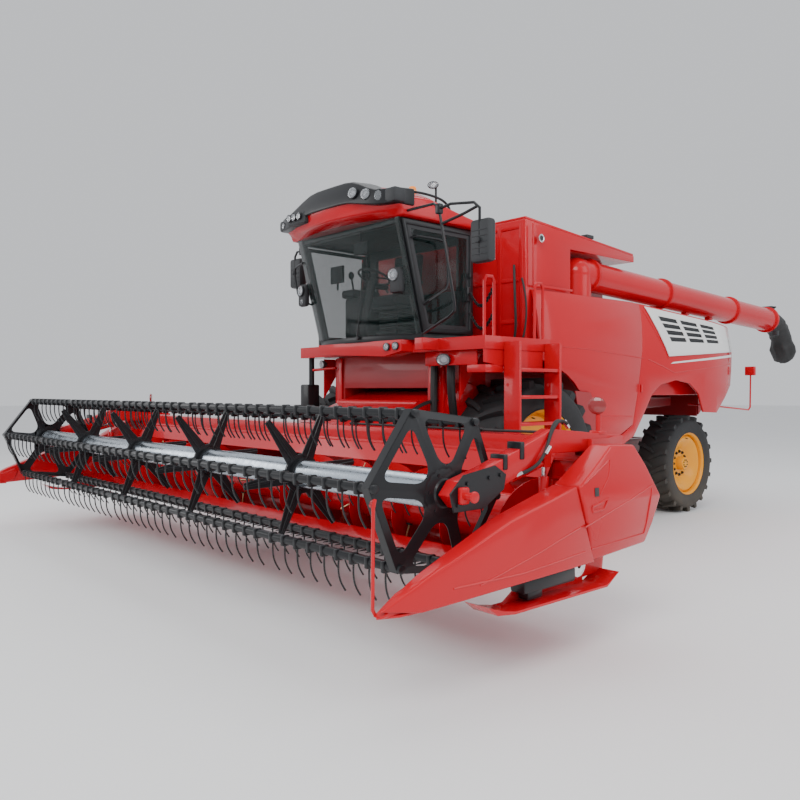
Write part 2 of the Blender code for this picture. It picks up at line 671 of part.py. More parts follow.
def windscreen_plan(inset, lean=0.0):
    """Plan of the curved front of the cab at one height, from left to right."""
    half = CAB_HALF_WIDTH - inset
    steps = 8
    points = []
    for i in range(steps + 1):
        x = half - 2 * half * i / steps
        points.append((x, PILLAR_BASE_Y + lean + inset - WINDSCREEN_BULGE * (1 - (x / half) ** 2)))
    return points


def windscreen():
    """A curved sheet that leans forward, in front of the pillars."""
    bottom = PLATFORM_TOP + CAB_FLOOR_THICKNESS + 0.004
    top = CAB_EAVE - 0.01
    lean = PILLAR_TOP_Y - PILLAR_BASE_Y
    outer = [(x, y - GLASS_THICKNESS - CONTACT_GAP) for x, y in windscreen_plan(0.0)]
    inner = [(x, y + GLASS_THICKNESS) for x, y in outer]
    shape = slab(outer + inner[::-1], "Z", bottom, top)
    for vert in shape.verts:
        share = (vert.co.z - PLATFORM_TOP) / (CAB_EAVE - PLATFORM_TOP)
        vert.co.y += lean * share
    part("windscreen", GLASS, [shape])


def cab_roof():
    front = PILLAR_TOP_Y - 0.27
    low = CAB_EAVE + CONTACT_GAP
    outline = [(CAB_REAR_Y + 0.02, low), (CAB_REAR_Y + 0.02, ROOF_TOP_REAR), (-2.30, 3.84), (-2.60,
                                                                                             ROOF_TOP_FRONT),
               (-2.95, 3.93), (front, 3.74), (front + 0.05, 3.56), (PILLAR_TOP_Y - 0.02, low)]
    shape = slab(outline, "X", -ROOF_HALF_WIDTH, ROOF_HALF_WIDTH)
    sliced(shape, "X", (-0.85, -0.6, -0.3, 0.0, 0.3, 0.6, 0.85))
    for vert in shape.verts:
        side = abs(vert.co.x)
        if vert.co.z > 3.62:
            vert.co.z -= 0.26 * max(0.0, side - 0.25) ** 1.5 / 0.65 * (vert.co.z - 3.5) / 0.47
        if vert.co.y < PILLAR_TOP_Y - 0.1:
            vert.co.y += 0.18 * side * side
    bmesh.ops.triangulate(shape, faces=shape.faces)
    part("cab_roof", RED, [shape])


def cab_door():
    """The left door's frame, its window open, hinged at the rear pillar."""
    low = PLATFORM_TOP + CAB_FLOOR_THICKNESS + 0.012
    high = CAB_EAVE - 0.012
    x = CAB_HALF_WIDTH + PIN_GAP
    lean = (PILLAR_TOP_Y - PILLAR_BASE_Y) / (CAB_EAVE - PLATFORM_TOP)

    def outline(inset):
        return [(CAB_REAR_Y - 0.012 - inset, low + inset), (CAB_REAR_Y - 0.012 - inset, high - inset),
                (PILLAR_BASE_Y + 0.02 + inset + lean * (high - PLATFORM_TOP), high - inset),
                (PILLAR_BASE_Y + 0.02 + inset + lean * (low - PLATFORM_TOP), low + inset)]

    part("cab_door", BLACK, [slab(outline(0.0), "X", x, x + 0.035)],
         [slab(outline(0.055), "X", x - 0.1, x + 0.1)], origin=(x, CAB_REAR_Y - 0.012, low))


def operator_seat():
    floor = PLATFORM_TOP + CAB_FLOOR_THICKNESS + 2 * CONTACT_GAP
    half = SEAT_WIDTH / 2
    pedestal = box((-0.20, -2.36, floor), (0.20, -2.02, floor + 0.36))
    cushion = box((-half, -2.46, floor + 0.35), (half, -1.98, floor + 0.50))
    back = slab([(-2.10, floor + 0.45), (-1.98, floor + 0.45), (-1.935, floor + 1.10), (-2.03, floor + 1.10)],
                "X", -half + 0.02, half - 0.02)
    part("operator_seat", FABRIC, [pedestal, cushion, back])


def mirrors():
    """Black tube guard from roof to platform, with its arm and mirror head."""
    edge = ROOF_HALF_WIDTH + CONTACT_GAP
    foot_z = PLATFORM_TOP + CONTACT_GAP
    guard_left = [(edge, -2.94, 3.545), (1.38, -2.94, 3.545), (1.46, -2.95, 3.49), (1.55, -2.95, 3.10),
                  (1.67, -2.95, 2.56), (1.66, -2.94, 2.48), (1.56, -2.92, 2.43), (1.14, -2.83, 2.31),
                  (1.06, -2.79, 2.30), (1.06, -2.78, foot_z + 0.018)]
    arm_left = [(1.465, -2.952, 3.478), (1.62, -2.95, 3.50), (1.92, -2.95, 3.46), (1.99, -2.95, 3.40),
                (1.99, -2.95, 2.96)]
    head_left = box((1.87, -2.96, 2.90), (2.11, -2.85, 3.30))
    foot_left = bar((1.06, -2.78, foot_z), (1.06, -2.78, foot_z + 0.03), 0.02, 8)
    guard_right = [(-edge, -2.55, 3.57), (-1.38, -2.55, 3.57), (-1.47, -2.53, 3.53), (-1.36, -2.52, 3.10),
                   (-1.13, -2.52, 2.56), (-1.09, -2.52, 2.46), (-1.06, -2.54, foot_z + 0.018)]
    arm_right = [(-1.458, -2.532, 3.512), (-1.58, -2.52, 3.52), (-1.63, -2.52, 3.46), (-1.63, -2.52, 3.10)]
    head_right = box((-1.75, -2.53, 3.06), (-1.51, -2.42, 3.44))
    foot_right = bar((-1.06, -2.54, foot_z), (-1.06, -2.54, foot_z + 0.03), 0.02, 8)
    for word, guard, arm, head, foot in (("left", guard_left, arm_left, head_left, foot_left),
                                         ("right", guard_right, arm_right, head_right, foot_right)):
        part(f"mirror_{word}", BLACK, [tube(guard, 0.014), tube(arm, 0.014), head, foot])


def ladder():
    """Left-hand ladder that swings out about its front edge."""
    x, thickness, width = PLATFORM_LEFT_X + PIN_GAP, 0.03, 0.20
    front, rear = PLATFORM_FRONT_Y + 0.28, PLATFORM_REAR_Y - 0.06
    shapes = []
    for y in (front, rear - thickness):
        shapes.append(box((x, y, 0.50), (x + width, y + thickness, PLATFORM_BOTTOM + 0.08)))
    for step in range(6):
        z = 0.56 + step * 0.27
        shapes.append(box((x + 0.01, front + 0.01, z), (x + width - 0.01, rear - 0.01, z + 0.03)))
    part("ladder", RED, shapes, origin=(x, front, 0.50))


# ---- feeder house and its cylinders ----

def feeder_house():
    pivot = (FEEDER_PIVOT_Y, FEEDER_PIVOT_Z)
    mouth = HEADER_BACK_Y + CONTACT_GAP
    outline = [(mouth, FEEDER_MOUTH_BOTTOM), (mouth, FEEDER_MOUTH_TOP)]
    outline += arc(pivot, FEEDER_HEEL_RADIUS, 108, -72, 12)
    shell = slab(outline, "X", -FEEDER_HALF_WIDTH, FEEDER_HALF_WIDTH)
    tunnel = [(mouth - 0.1, FEEDER_MOUTH_BOTTOM + 0.05), (mouth - 0.1, FEEDER_MOUTH_TOP - 0.05),
              (-2.6, 1.50), (-2.6, 1.05)]
    half_pivot = FEEDER_HALF_WIDTH + PIVOT_SIDE_GAP - PIN_GAP
    shapes = [shell, bar((-half_pivot, *pivot), (half_pivot, *pivot), 0.06, 12)]
    y, z = LIFT_EYE
    for side in (-1, 1):
        for out in (-1, 1):
            middle = side * LIFT_X + out * (EYE_SHARE * LIFT_ROD_RADIUS + PIN_GAP + 0.008)
            shapes.append(box((middle - 0.008, y - 0.06, z - 0.05), (middle + 0.008, y + 0.06, z + 0.16)))
    part("feeder_house", RED, shapes, [slab(tunnel, "X", -FEEDER_HALF_WIDTH + 0.04,
                                            FEEDER_HALF_WIDTH - 0.04)],
         origin=(0, *pivot))


def cylinder(name_barrel, name_rod, finish, x, base, eye, length, rod_from, barrel_radius, rod_radius):
    """A ram: a barrel with a bore, turning at its base, and a rod that slides out to its eye."""
    start, end = Vector((x, *base)), Vector((x, *eye))
    along = (end - start).normalized()
    bore = bar(start + along * 0.08, start + along * (length + 0.1), rod_radius + 0.004, 12)
    foot_half = Vector((FOOT_SHARE * barrel_radius, 0, 0))
    foot = bar(start - foot_half, start + foot_half, barrel_radius * 0.7, 12)
    part(name_barrel, finish, [bar(start, start + along * length, barrel_radius, 12), foot], [bore],
         origin=start)
    rod_start = start + along * rod_from
    eye_half = Vector((EYE_SHARE * rod_radius, 0, 0))
    ring = bar(end - eye_half, end + eye_half, rod_radius * 1.3, 12)
    part(name_rod, STEEL, [bar(rod_start, end, rod_radius, 12), ring], origin=end)


def lift_cylinders():
    for side, word in ((1, "left"), (-1, "right")):
        cylinder(f"lift_barrel_{word}", f"lift_rod_{word}", BLACK, side * LIFT_X, LIFT_BASE, LIFT_EYE,
                 LIFT_BARREL_LENGTH, LIFT_ROD_START, LIFT_BARREL_RADIUS, LIFT_ROD_RADIUS)
        cylinder(f"reel_lift_barrel_{word}", f"reel_lift_rod_{word}", RED,
                 side * (ARM_INNER_X + ARM_WIDTH / 2),
                 REEL_LIFT_BASE, REEL_LIFT_EYE, REEL_BARREL_LENGTH, REEL_ROD_START, REEL_BARREL_RADIUS,
                 REEL_ROD_RADIUS)


# ---- header ----

def header():
    side_x = HEADER_SIDE_X - CONTACT_GAP
    back = HEADER_BACK_Y
    beam_low = HEADER_BEAM_TOP - 0.15
    sheet = box((-side_x, back - HEADER_SHEET, 0.52), (side_x, back, HEADER_BEAM_TOP))
    beam = box((-side_x, back - 0.001, beam_low), (side_x, back + HEADER_BEAM_DEPTH, HEADER_BEAM_TOP - 0.001))
    mouth = box((-0.66, back - 1, FEEDER_MOUTH_BOTTOM + 0.05), (0.66, back + 0.01, FEEDER_MOUTH_TOP - 0.05))
    toe = box((-side_x, back - 0.001, 0.50), (side_x, back + 0.09, 0.59))
    shapes = [sheet, beam, toe]
    notches = []
    for side in (-1, 1):
        notches.append(mirrored(box((ARM_INNER_X - PIN_GAP, back - 1, ARM_PIVOT_Z - 0.08),
                                    (ARM_INNER_X + ARM_WIDTH + PIN_GAP, back + 1, HEADER_BEAM_TOP + 1)),
                                side))
        for low in (ARM_INNER_X - PIN_GAP - 0.02, ARM_INNER_X + ARM_WIDTH + PIN_GAP):
            ear = [(back + HEADER_BEAM_DEPTH - 0.02, beam_low + 0.01), (ARM_PIVOT_Y + 0.05,
                                                                        ARM_PIVOT_Z - 0.06),
                   (ARM_PIVOT_Y + 0.05, ARM_PIVOT_Z + 0.05), (ARM_PIVOT_Y - 0.05, ARM_PIVOT_Z + 0.05),
                   (back + HEADER_BEAM_DEPTH - 0.02, HEADER_BEAM_TOP - 0.01)]
            shapes.append(mirrored(slab(ear, "X", low, low + 0.02), side))
    part("header_back", RED, shapes, [mouth] + notches)

    centre = (TABLE_AUGER_Y, TABLE_AUGER_Z)
    trough = TABLE_AUGER_RADIUS + TROUGH_CLEARANCE
    wall_y = back - HEADER_SHEET - CONTACT_GAP
    top = arc(centre, trough, -140, -20, 9)
    top = [p for p in top if p[0] < wall_y]
    upper = [(KNIFE_Y + 0.075, KNIFE_Z + 0.02)] + top + [(wall_y, top[-1][1] + 0.012)]
    lower = [(y, z - 0.012) for y, z in upper]
    lower[-1] = (wall_y, upper[-1][1] - 0.03)
    part("header_floor", RED, [slab(upper + lower[::-1], "X", -side_x, side_x)])

    for side, word in ((1, "left"), (-1, "right")):
        outline = [(KNIFE_Y + 0.03, 0.50), (KNIFE_Y + 0.2, 0.44), (back + 0.09, 0.48),
                   (back + HEADER_BEAM_DEPTH, 1.10),
                   (back + HEADER_BEAM_DEPTH, HEADER_BEAM_TOP - 0.04), (back - 0.10, 1.22), (-4.20, 0.98),
                   (-4.45, 0.70),
                   (KNIFE_Y + 0.03, 0.58)]
        sheet = slab(outline, "X", HEADER_SIDE_X, HEADER_SIDE_X + HEADER_SHEET)
        skid = slab([(-4.98, 0.50), (-4.90, SKID_BOTTOM + 0.02), (-4.75, SKID_BOTTOM), (-3.80, SKID_BOTTOM),
                     (-3.66, 0.50), (-3.80, SKID_BOTTOM + 0.016), (-4.74, SKID_BOTTOM + 0.016), (-4.86,
                                                                                                 SKID_BOTTOM + 0.04)],
                    "X", HEADER_SIDE_X - 0.02, HEADER_SIDE_X + 0.17)
        web = slab([(-4.70, SKID_BOTTOM + 0.008), (-3.86, SKID_BOTTOM + 0.008), (-3.86, 0.60), (-4.40, 0.60)],
                   "X", HEADER_SIDE_X + 0.001, HEADER_SIDE_X + 0.014)
        foot_end = ARM_INNER_X + ARM_WIDTH / 2 + FOOT_SHARE * REEL_BARREL_RADIUS + PIN_GAP
        boss = bar((foot_end, *REEL_LIFT_BASE), (HEADER_SIDE_X + 0.001, *REEL_LIFT_BASE), 0.02, 12)
        bearing = bar((TABLE_AUGER_HALF_LENGTH + PIN_GAP, TABLE_AUGER_Y, TABLE_AUGER_Z),
                      (HEADER_SIDE_X + 0.001, TABLE_AUGER_Y, TABLE_AUGER_Z), 0.045, 12)
        part(f"header_side_{word}", RED, [mirrored(shape, side) for shape in (sheet, web, skid, boss,
                                                                              bearing)])

    bar_low = [(KNIFE_Y, KNIFE_Z), (KNIFE_Y + 0.075 - CONTACT_GAP, KNIFE_Z - 0.03),
               (KNIFE_Y + 0.075 - CONTACT_GAP, KNIFE_Z + 0.02), (KNIFE_Y, KNIFE_Z + 0.015)]
    part("knife_bar", BLACK, [slab(bar_low, "X", -side_x, side_x)])


def flight(start, hand, turns):
    """One screw flight from start towards the middle; hand sets which way it winds."""
    shape = bmesh.new()
    inner, outer = TABLE_AUGER_TUBE - 0.02, TABLE_AUGER_RADIUS
    step = FLIGHT_THICKNESS / 2
    corners = [(start - step, 0, inner), (start + step, 0, inner), (start + step, 0, outer), (start - step,
                                                                                              0, outer)]
    face = shape.faces.new([shape.verts.new(corner) for corner in corners])
    way = -1 if start > 0 else 1
    steps = int(turns * 10)
    bmesh.ops.spin(
        shape, geom=[face], cent=(0, 0, 0), axis=(1, 0, 0), angle=hand * turns * 2 * math.pi,
        dvec=(way * turns * FLIGHT_PITCH / steps, 0, 0), steps=steps, use_duplicate=False,
    )
    bmesh.ops.remove_doubles(shape, verts=shape.verts, dist=0.00001)
    shape.transform(Matrix.Translation((0, TABLE_AUGER_Y, TABLE_AUGER_Z)))
    return shape


def table_auger():
    axis = (TABLE_AUGER_Y, TABLE_AUGER_Z)
    half = TABLE_AUGER_HALF_LENGTH
    turns = (half - 0.02 - TABLE_AUGER_CENTRE_GAP) / FLIGHT_PITCH
    shapes = [bar((-half, *axis), (half, *axis), TABLE_AUGER_TUBE, 16),
              flight(half - 0.02, 1, turns), flight(-half + 0.02, 1, turns)]
    part("header_auger", RED, shapes, origin=(0, *axis))


def narrowed(shape, y_tip, y_full, x_middle, least):
    """Draws the shape in towards x_middle from y_full to y_tip."""
    for vert in shape.verts:
        share = min(1.0, max(0.0, (vert.co.y - y_tip) / (y_full - y_tip)))
        width = least + (1 - least) * math.sqrt(share)
        vert.co.x = x_middle + (vert.co.x - x_middle) * width
    return shape


def dividers():
    inner = HEADER_SIDE_X + HEADER_SHEET + PIN_GAP
    outer = inner + DIVIDER_WIDTH
    for side, word in ((1, "left"), (-1, "right")):
        nose = DIVIDER_NOSE_Y
        outline = [(nose, 0.60), (nose + 0.30, 0.74), (-4.80, 0.97), (-4.19, 1.12), (-4.00, 0.62), (-4.60,
                                                                                                    0.60),
                   (nose + 0.25, 0.56)]
        shape = slab(outline, "X", inner, outer)
        sliced(shape, "Y", (-5.5, -5.2, -4.9, -4.5))
        narrowed(shape, nose, -4.3, inner + 0.07, 0.12)
        for vert in shape.verts:
            vert.co.x = max(vert.co.x, inner)
        bmesh.ops.triangulate(shape, faces=shape.faces)
        part(f"divider_{word}", RED, [mirrored(shape, side)])

        rear = [(-4.19 + SEAM_GAP, 1.12), (-3.78, 1.36), (-3.50, 1.35), (-3.22, 0.98), (-3.36, 0.66),
                (-4.00 + SEAM_GAP, 0.62)]
        cover = slab(rear, "X", inner, outer + 0.02)
        sliced(cover, "Z", (0.8, 1.0, 1.2))
        for vert in cover.verts:
            if vert.co.x > inner + 0.05:
                vert.co.x -= 0.35 * (vert.co.z - 1.0) ** 2
        bmesh.ops.triangulate(cover, faces=cover.faces)
        part(f"divider_cover_{word}", RED, [mirrored(cover, side)], origin=(side * inner, -3.22, 0.98))


# ---- reel ----

def bat_place(index):
    angle = BAT_PHASE + index * 2 * math.pi / BAT_COUNT
    return REEL_Y + REEL_RADIUS * math.cos(angle), REEL_Z + REEL_RADIUS * math.sin(angle), angle


def spider_positions():
    reach = REEL_HALF_LENGTH - 0.04
    return [-reach + 2 * reach * i / (REEL_SPIDERS - 1) for i in range(REEL_SPIDERS)]


def reel_rotor():
    half = ARM_INNER_X - PIN_GAP
    shapes = [bar((-REEL_HALF_LENGTH + 0.02, REEL_Y, REEL_Z), (REEL_HALF_LENGTH - 0.02, REEL_Y, REEL_Z),
                  REEL_TUBE_RADIUS, 12),
              bar((-half, REEL_Y, REEL_Z), (half, REEL_Y, REEL_Z), 0.035, 12)]
    tip = REEL_RADIUS - BAT_RADIUS - CONTACT_GAP
    for x in spider_positions():
        star = []
        for index in range(BAT_COUNT):
            _, _, angle = bat_place(index)
            for turn, radius in ((-0.02, tip), (0.02, tip), (math.pi / BAT_COUNT, 0.20)):
                star.append((REEL_Y + radius * math.cos(angle + turn),
                             REEL_Z + radius * math.sin(angle + turn)))
        shapes.append(slab(star, "X", x - REEL_SPIDER_THICKNESS / 2, x + REEL_SPIDER_THICKNESS / 2))
    part("reel_rotor", BLACK, shapes, origin=(0, REEL_Y, REEL_Z))


def comb(start, end, y, z):
    """Tines between two spiders: a thin spine with teeth, hanging from the bat."""
    count = int((end - start - TINE_WIDTH) / TINE_PITCH) + 1
    first = (start + end) / 2 - (count - 1) * TINE_PITCH / 2
    spine = z - BAT_RADIUS - 0.012
    points = [(first - TINE_WIDTH / 2, z)]
    for i in range(count):
        x = first + i * TINE_PITCH
        if i > 0:
            points.append((x - TINE_WIDTH / 2, spine))
        points.append((x, z - BAT_RADIUS - TINE_LENGTH))
        if i < count - 1:
            points.append((x + TINE_WIDTH / 2, spine))
    points.append((first + (count - 1) * TINE_PITCH + TINE_WIDTH / 2, z))
    return slab(points, "Y", y - 0.004, y + 0.004)


def reel_bats():
    spiders = spider_positions()
    clear = REEL_SPIDER_THICKNESS / 2 + 0.02
    for index in range(BAT_COUNT):
        y, z, _ = bat_place(index)
        shapes = [bar((-REEL_HALF_LENGTH, y, z), (REEL_HALF_LENGTH, y, z), BAT_RADIUS, 16)]
        for a, b in zip(spiders, spiders[1:]):
            shapes.append(comb(a + clear, b - clear, y, z))
        part(f"reel_bat_{index + 1}", BLACK, shapes, origin=(0, y, z))


def reel_arms():
    for side, word in ((1, "left"), (-1, "right")):
        outline = [(ARM_PIVOT_Y + 0.04, ARM_PIVOT_Z - 0.05), (ARM_PIVOT_Y + 0.04, ARM_PIVOT_Z + 0.05),
                   (-4.12, 1.47),
                   (-4.72, 1.27), (REEL_Y - 0.01, REEL_Z + 0.08), (REEL_Y - 0.08, REEL_Z), (REEL_Y,
                                                                                            REEL_Z - 0.08),
                   (-4.66, 1.12), (-4.12, 1.31)]
        arm = slab(outline, "X", ARM_INNER_X, ARM_INNER_X + ARM_WIDTH)
        y, z = REEL_LIFT_EYE
        middle = ARM_INNER_X + ARM_WIDTH / 2
        reach = EYE_SHARE * REEL_ROD_RADIUS + PIN_GAP
        shapes = [arm]
        for low in (middle - reach - 0.014, middle + reach):
            shapes.append(box((low, y - 0.035, z - 0.03), (low + 0.014, y + 0.035, 1.34)))
        part(f"reel_arm_{word}", RED, [mirrored(shape, side) for shape in shapes],
             origin=(side * ARM_INNER_X, ARM_PIVOT_Y, ARM_PIVOT_Z))


wheels()
chassis()
rear_axle()
knuckles()
threshing_body()
engine()
rear_hood()
side_panels()
grain_tank()
tank_cover()
unloading_auger()
platform()
cab_shell()
windscreen()
cab_roof()
cab_door()
operator_seat()
mirrors()
ladder()
feeder_house()
lift_cylinders()
header()
table_auger()
dividers()
reel_rotor()
reel_bats()
reel_arms()
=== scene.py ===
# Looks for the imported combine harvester: finishes, tyres, reel, header, cab and trim.
import json
import math

import bmesh
import bpy
from mathutils import Euler, Matrix, Vector
from mathutils.bvhtree import BVHTree


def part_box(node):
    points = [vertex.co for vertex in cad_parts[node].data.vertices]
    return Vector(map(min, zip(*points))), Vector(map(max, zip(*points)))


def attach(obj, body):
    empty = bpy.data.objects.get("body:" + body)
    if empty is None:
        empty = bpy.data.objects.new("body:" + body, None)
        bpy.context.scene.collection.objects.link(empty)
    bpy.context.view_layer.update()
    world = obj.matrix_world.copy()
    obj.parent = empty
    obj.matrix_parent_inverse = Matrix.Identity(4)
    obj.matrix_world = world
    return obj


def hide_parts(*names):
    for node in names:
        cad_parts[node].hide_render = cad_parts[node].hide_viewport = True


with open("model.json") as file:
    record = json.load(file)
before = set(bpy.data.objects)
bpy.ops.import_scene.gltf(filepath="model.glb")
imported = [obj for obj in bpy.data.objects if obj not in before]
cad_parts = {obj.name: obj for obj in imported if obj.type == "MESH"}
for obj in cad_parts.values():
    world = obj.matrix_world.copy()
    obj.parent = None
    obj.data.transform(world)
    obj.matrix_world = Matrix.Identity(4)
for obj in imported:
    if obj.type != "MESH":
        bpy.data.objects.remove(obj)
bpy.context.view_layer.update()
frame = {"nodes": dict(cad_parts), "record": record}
nodes = frame["nodes"]
bodyOfNode = {node: body for body, members in frame["record"]["behaviour"]["bodies"].items()
              for node in members}
print("frame loaded:", len(nodes), "nodes")


class Wire:
    # one output of a shader node, which adds and multiplies like a number
    def __init__(self, graph, output):
        self.graph = graph
        self.output = output

    def sum(self, operation, *values, clamp=False):
        settings = {"operation": operation, "use_clamp": clamp}
        return self.graph.add("ShaderNodeMath", settings, dict(enumerate(values)))

    def __add__(self, other):
        return self.sum("ADD", self, other)

    def __sub__(self, other):
        return self.sum("SUBTRACT", self, other)

    def __rsub__(self, other):
        return self.sum("SUBTRACT", other, self)

    def __mul__(self, other):
        return self.sum("MULTIPLY", self, other)

    def __truediv__(self, other):
        return self.sum("DIVIDE", self, other)

    def held(self):
        # kept between 0 and 1
        return self.sum("ADD", self, 0.0, clamp=True)

    __radd__ = __add__
    __rmul__ = __mul__


class Graph:
    # the node tree of one finish
    def __init__(self, name):
        self.material = bpy.data.materials.new(name)
        self.material.use_nodes = True
        self.tree = self.material.node_tree
        self.shader = self.tree.nodes["Principled BSDF"]

    def add(self, kind, settings, inputs, output=None):
        node = self.tree.nodes.new(kind)
        for key, value in settings.items():
            setattr(node, key, value)
        for key, value in inputs.items():
            found = [s for s in node.inputs if s.enabled and s.name == key]
            self.feed(found[0] if found else node.inputs[key], value)
        outputs = [s for s in node.outputs if s.enabled and output in (None, s.name)]
        return Wire(self, outputs[0])

    def feed(self, socket, value):
        if isinstance(value, Wire):
            self.tree.links.new(value.output, socket)
        else:
            socket.default_value = value

    def put(self, **values):
        for key, value in values.items():
            self.feed(self.shader.inputs[key.replace("_", " ")], value)

    def place(self, scale=(1, 1, 1), turn=(0, 0, 0)):
        spot = self.add("ShaderNodeTexCoord", {}, {}, "Object")
        return self.add("ShaderNodeMapping", {}, {"Vector": spot, "Rotation": turn, "Scale": scale})

    def height(self):
        spot = self.add("ShaderNodeTexCoord", {}, {}, "Object")
        return self.add("ShaderNodeSeparateXYZ", {}, {"Vector": spot}, "Z")

    def noise(self, place, scale, detail=3.0, rough=0.5):
        inputs = {"Vector": place, "Scale": scale, "Detail": detail, "Roughness": rough}
        return self.add("ShaderNodeTexNoise", {}, inputs)

    def blend(self, share, first, second):
        return self.add("ShaderNodeMix", {"data_type": "RGBA"}, {"Factor": share, "A": first, "B": second},
                        "Result")

    def bump(self, height, strength, distance):
        inputs = {"Height": height, "Strength": strength, "Distance": distance}
        self.put(Normal=self.add("ShaderNodeBump", {}, inputs))


def shade(red, green, blue):
    return (red, green, blue, 1.0)


dustColour = shade(0.32, 0.25, 0.17)


def paint(name, look):
    # enamel: slow drift of tone, fine orange peel, dust low down
    graph = Graph(name)
    place = graph.place()
    drift = graph.noise(place, look.get("patch", 1.1), 4.0)
    peel = graph.noise(place, look.get("grain", 160.0), 2.0)
    low = (1.0 - graph.height() / look.get("dustTop", 1.4)).held()
    dust = (low * (drift - 0.25) * look.get("dust", 0.35)).held()
    tone = graph.blend((drift - 0.3) * look.get("drift", 0.6), look["colour"], look["deep"])
    graph.put(Base_Color=graph.blend(dust, tone, dustColour))
    graph.put(Roughness=drift * 0.10 + dust * 0.5 + look["rough"])
    graph.put(Metallic=look.get("metal", 0.0), Coat_Weight=look.get("coat", 0.0), Coat_Roughness=0.05,
              Specular_IOR_Level=look.get("shine", 0.5))
    graph.bump(peel, look.get("peel", 0.06), 0.002)
    return graph.material


def rubber(name, look):
    graph = Graph(name)
    place = graph.place()
    mottle = graph.noise(place, 6.0, 5.0, 0.65)
    grain = graph.noise(place, 240.0, 2.0)
    low = (1.0 - graph.height() / look["dustTop"]).held()
    dust = (low * mottle * look["dust"]).held()
    graph.put(Base_Color=graph.blend(dust, graph.blend(mottle, look["colour"], look["deep"]), dustColour))
    graph.put(Roughness=mottle * 0.15 + look["rough"])
    graph.bump(grain + mottle * 2.0, 0.25, 0.003)
    return graph.material


def galvanised(name, look):
    # zinc spangle over a long rolled tube
    graph = Graph(name)
    cells = {"Vector": graph.place(), "Scale": look["spangle"]}
    spangle = graph.add("ShaderNodeTexVoronoi", {}, cells, "Color")
    flake = graph.add("ShaderNodeSeparateColor", {}, {"Color": spangle}, "Red")
    streak = graph.noise(graph.place(scale=(0.6, 9.0, 9.0)), 3.0, 4.0)
    graph.put(Base_Color=graph.blend(flake * 0.5 + streak * 0.3, look["colour"], look["deep"]))
    graph.put(Roughness=flake * 0.14 + streak * 0.10 + look["rough"], Metallic=look["metal"])
    graph.bump(streak, 0.10, 0.002)
    return graph.material


def tintedGlass(name, look):
    graph = Graph(name)
    haze = graph.noise(graph.place(scale=(1, 1, 0.5)), 1.6, 4.0)
    graph.put(Base_Color=graph.blend(haze, look["colour"], look["deep"]))
    graph.put(Roughness=haze * 0.02 + 0.01, Alpha=haze * 0.08 + look["alpha"], Specular_IOR_Level=0.6)
    graph.shader.inputs["IOR"].default_value = 1.52
    graph.material.surface_render_method = "BLENDED"
    return graph.material


def seatCloth(name, look):
    graph = Graph(name)
    weaveX = graph.add("ShaderNodeTexWave", {"bands_direction": "X"},
                       {"Vector": graph.place(), "Scale": look["weave"]})
    weaveZ = graph.add("ShaderNodeTexWave", {"bands_direction": "DIAGONAL"},
                       {"Vector": graph.place(), "Scale": look["weave"]})
    thread = weaveX * weaveZ
    worn = graph.noise(graph.place(), 9.0, 4.0)
    graph.put(Base_Color=graph.blend(thread * 0.6 + worn * 0.3, look["colour"], look["deep"]))
    graph.put(Roughness=worn * 0.1 + 0.82)
    graph.bump(thread + worn * 0.5, 0.35, 0.002)
    return graph.material


def lit(name, look):
    # lenses and beacons: moulded ribs over a clear colour
    graph = Graph(name)
    ribs = graph.add("ShaderNodeTexWave", {"bands_direction": "X"},
                     {"Vector": graph.place(), "Scale": look["ribs"]})
    graph.put(Base_Color=graph.blend(ribs * 0.5, look["colour"], look["deep"]),
              Roughness=ribs * 0.06 + look["rough"])
    graph.put(Alpha=look["alpha"], Coat_Weight=1.0, Metallic=look.get("metal", 0.0))
    graph.put(Emission_Color=look["colour"], Emission_Strength=look["glow"])
    graph.bump(ribs, 0.3, 0.002)
    return graph.material


redPaint = paint("redEnamel", {"colour": shade(0.56, 0.003, 0.012), "deep": shade(0.40, 0.002, 0.008),
                               "rough": 0.20, "coat": 0.30, "shine": 0.22, "peel": 0.03, "dust": 0.03})
# a darker copy of the red enamel for the frame, body and parts under the side panels: painted shade; its
# heavier dust is real dust
shadedRedPaint = paint("shadedRedEnamel", {"colour": shade(0.36, 0.006, 0.012),
        "deep": shade(0.20, 0.003, 0.006), "rough": 0.38, "coat": 0.3, "dust": 0.6})
blackPaint = paint("blackEnamel", {"colour": shade(0.011, 0.012, 0.014), "deep": shade(0.004, 0.004, 0.005),
                                   "rough": 0.28, "coat": 0.1, "shine": 0.32, "dust": 0.02})
blackPlastic = paint("blackMoulding", {"colour": shade(0.022, 0.024, 0.027),
        "deep": shade(0.010, 0.011, 0.013), "rough": 0.50, "peel": 0.22, "grain": 320.0})
yellowPaint = paint("rimEnamel", {"colour": shade(0.84, 0.34, 0.002), "deep": shade(0.74, 0.25, 0.001),
                                  "rough": 0.32, "coat": 0.2, "shine": 0.3, "patch": 3.0, "dust": 0.06})
whitePaint = paint("whiteEnamel", {"colour": shade(0.82, 0.82, 0.80), "deep": shade(0.68, 0.69, 0.69),
                                   "rough": 0.20, "coat": 0.8, "dustTop": 2.6, "dust": 0.10, "peel": 0.04})
tyreRubber = rubber("tyreRubber", {"colour": shade(0.022, 0.023, 0.025), "deep": shade(0.012, 0.012, 0.013),
                                   "rough": 0.66, "dust": 0.35, "dustTop": 1.1})
hoseRubber = rubber("hoseRubber", {"colour": shade(0.020, 0.020, 0.021), "deep": shade(0.010, 0.010, 0.010),
                                   "rough": 0.48, "dust": 0.10, "dustTop": 1.0})
zincTube = galvanised("galvanisedTube", {"colour": shade(0.62, 0.68, 0.74), "deep": shade(0.44, 0.50, 0.57),
                                         "spangle": 26.0, "rough": 0.16, "metal": 1.0})
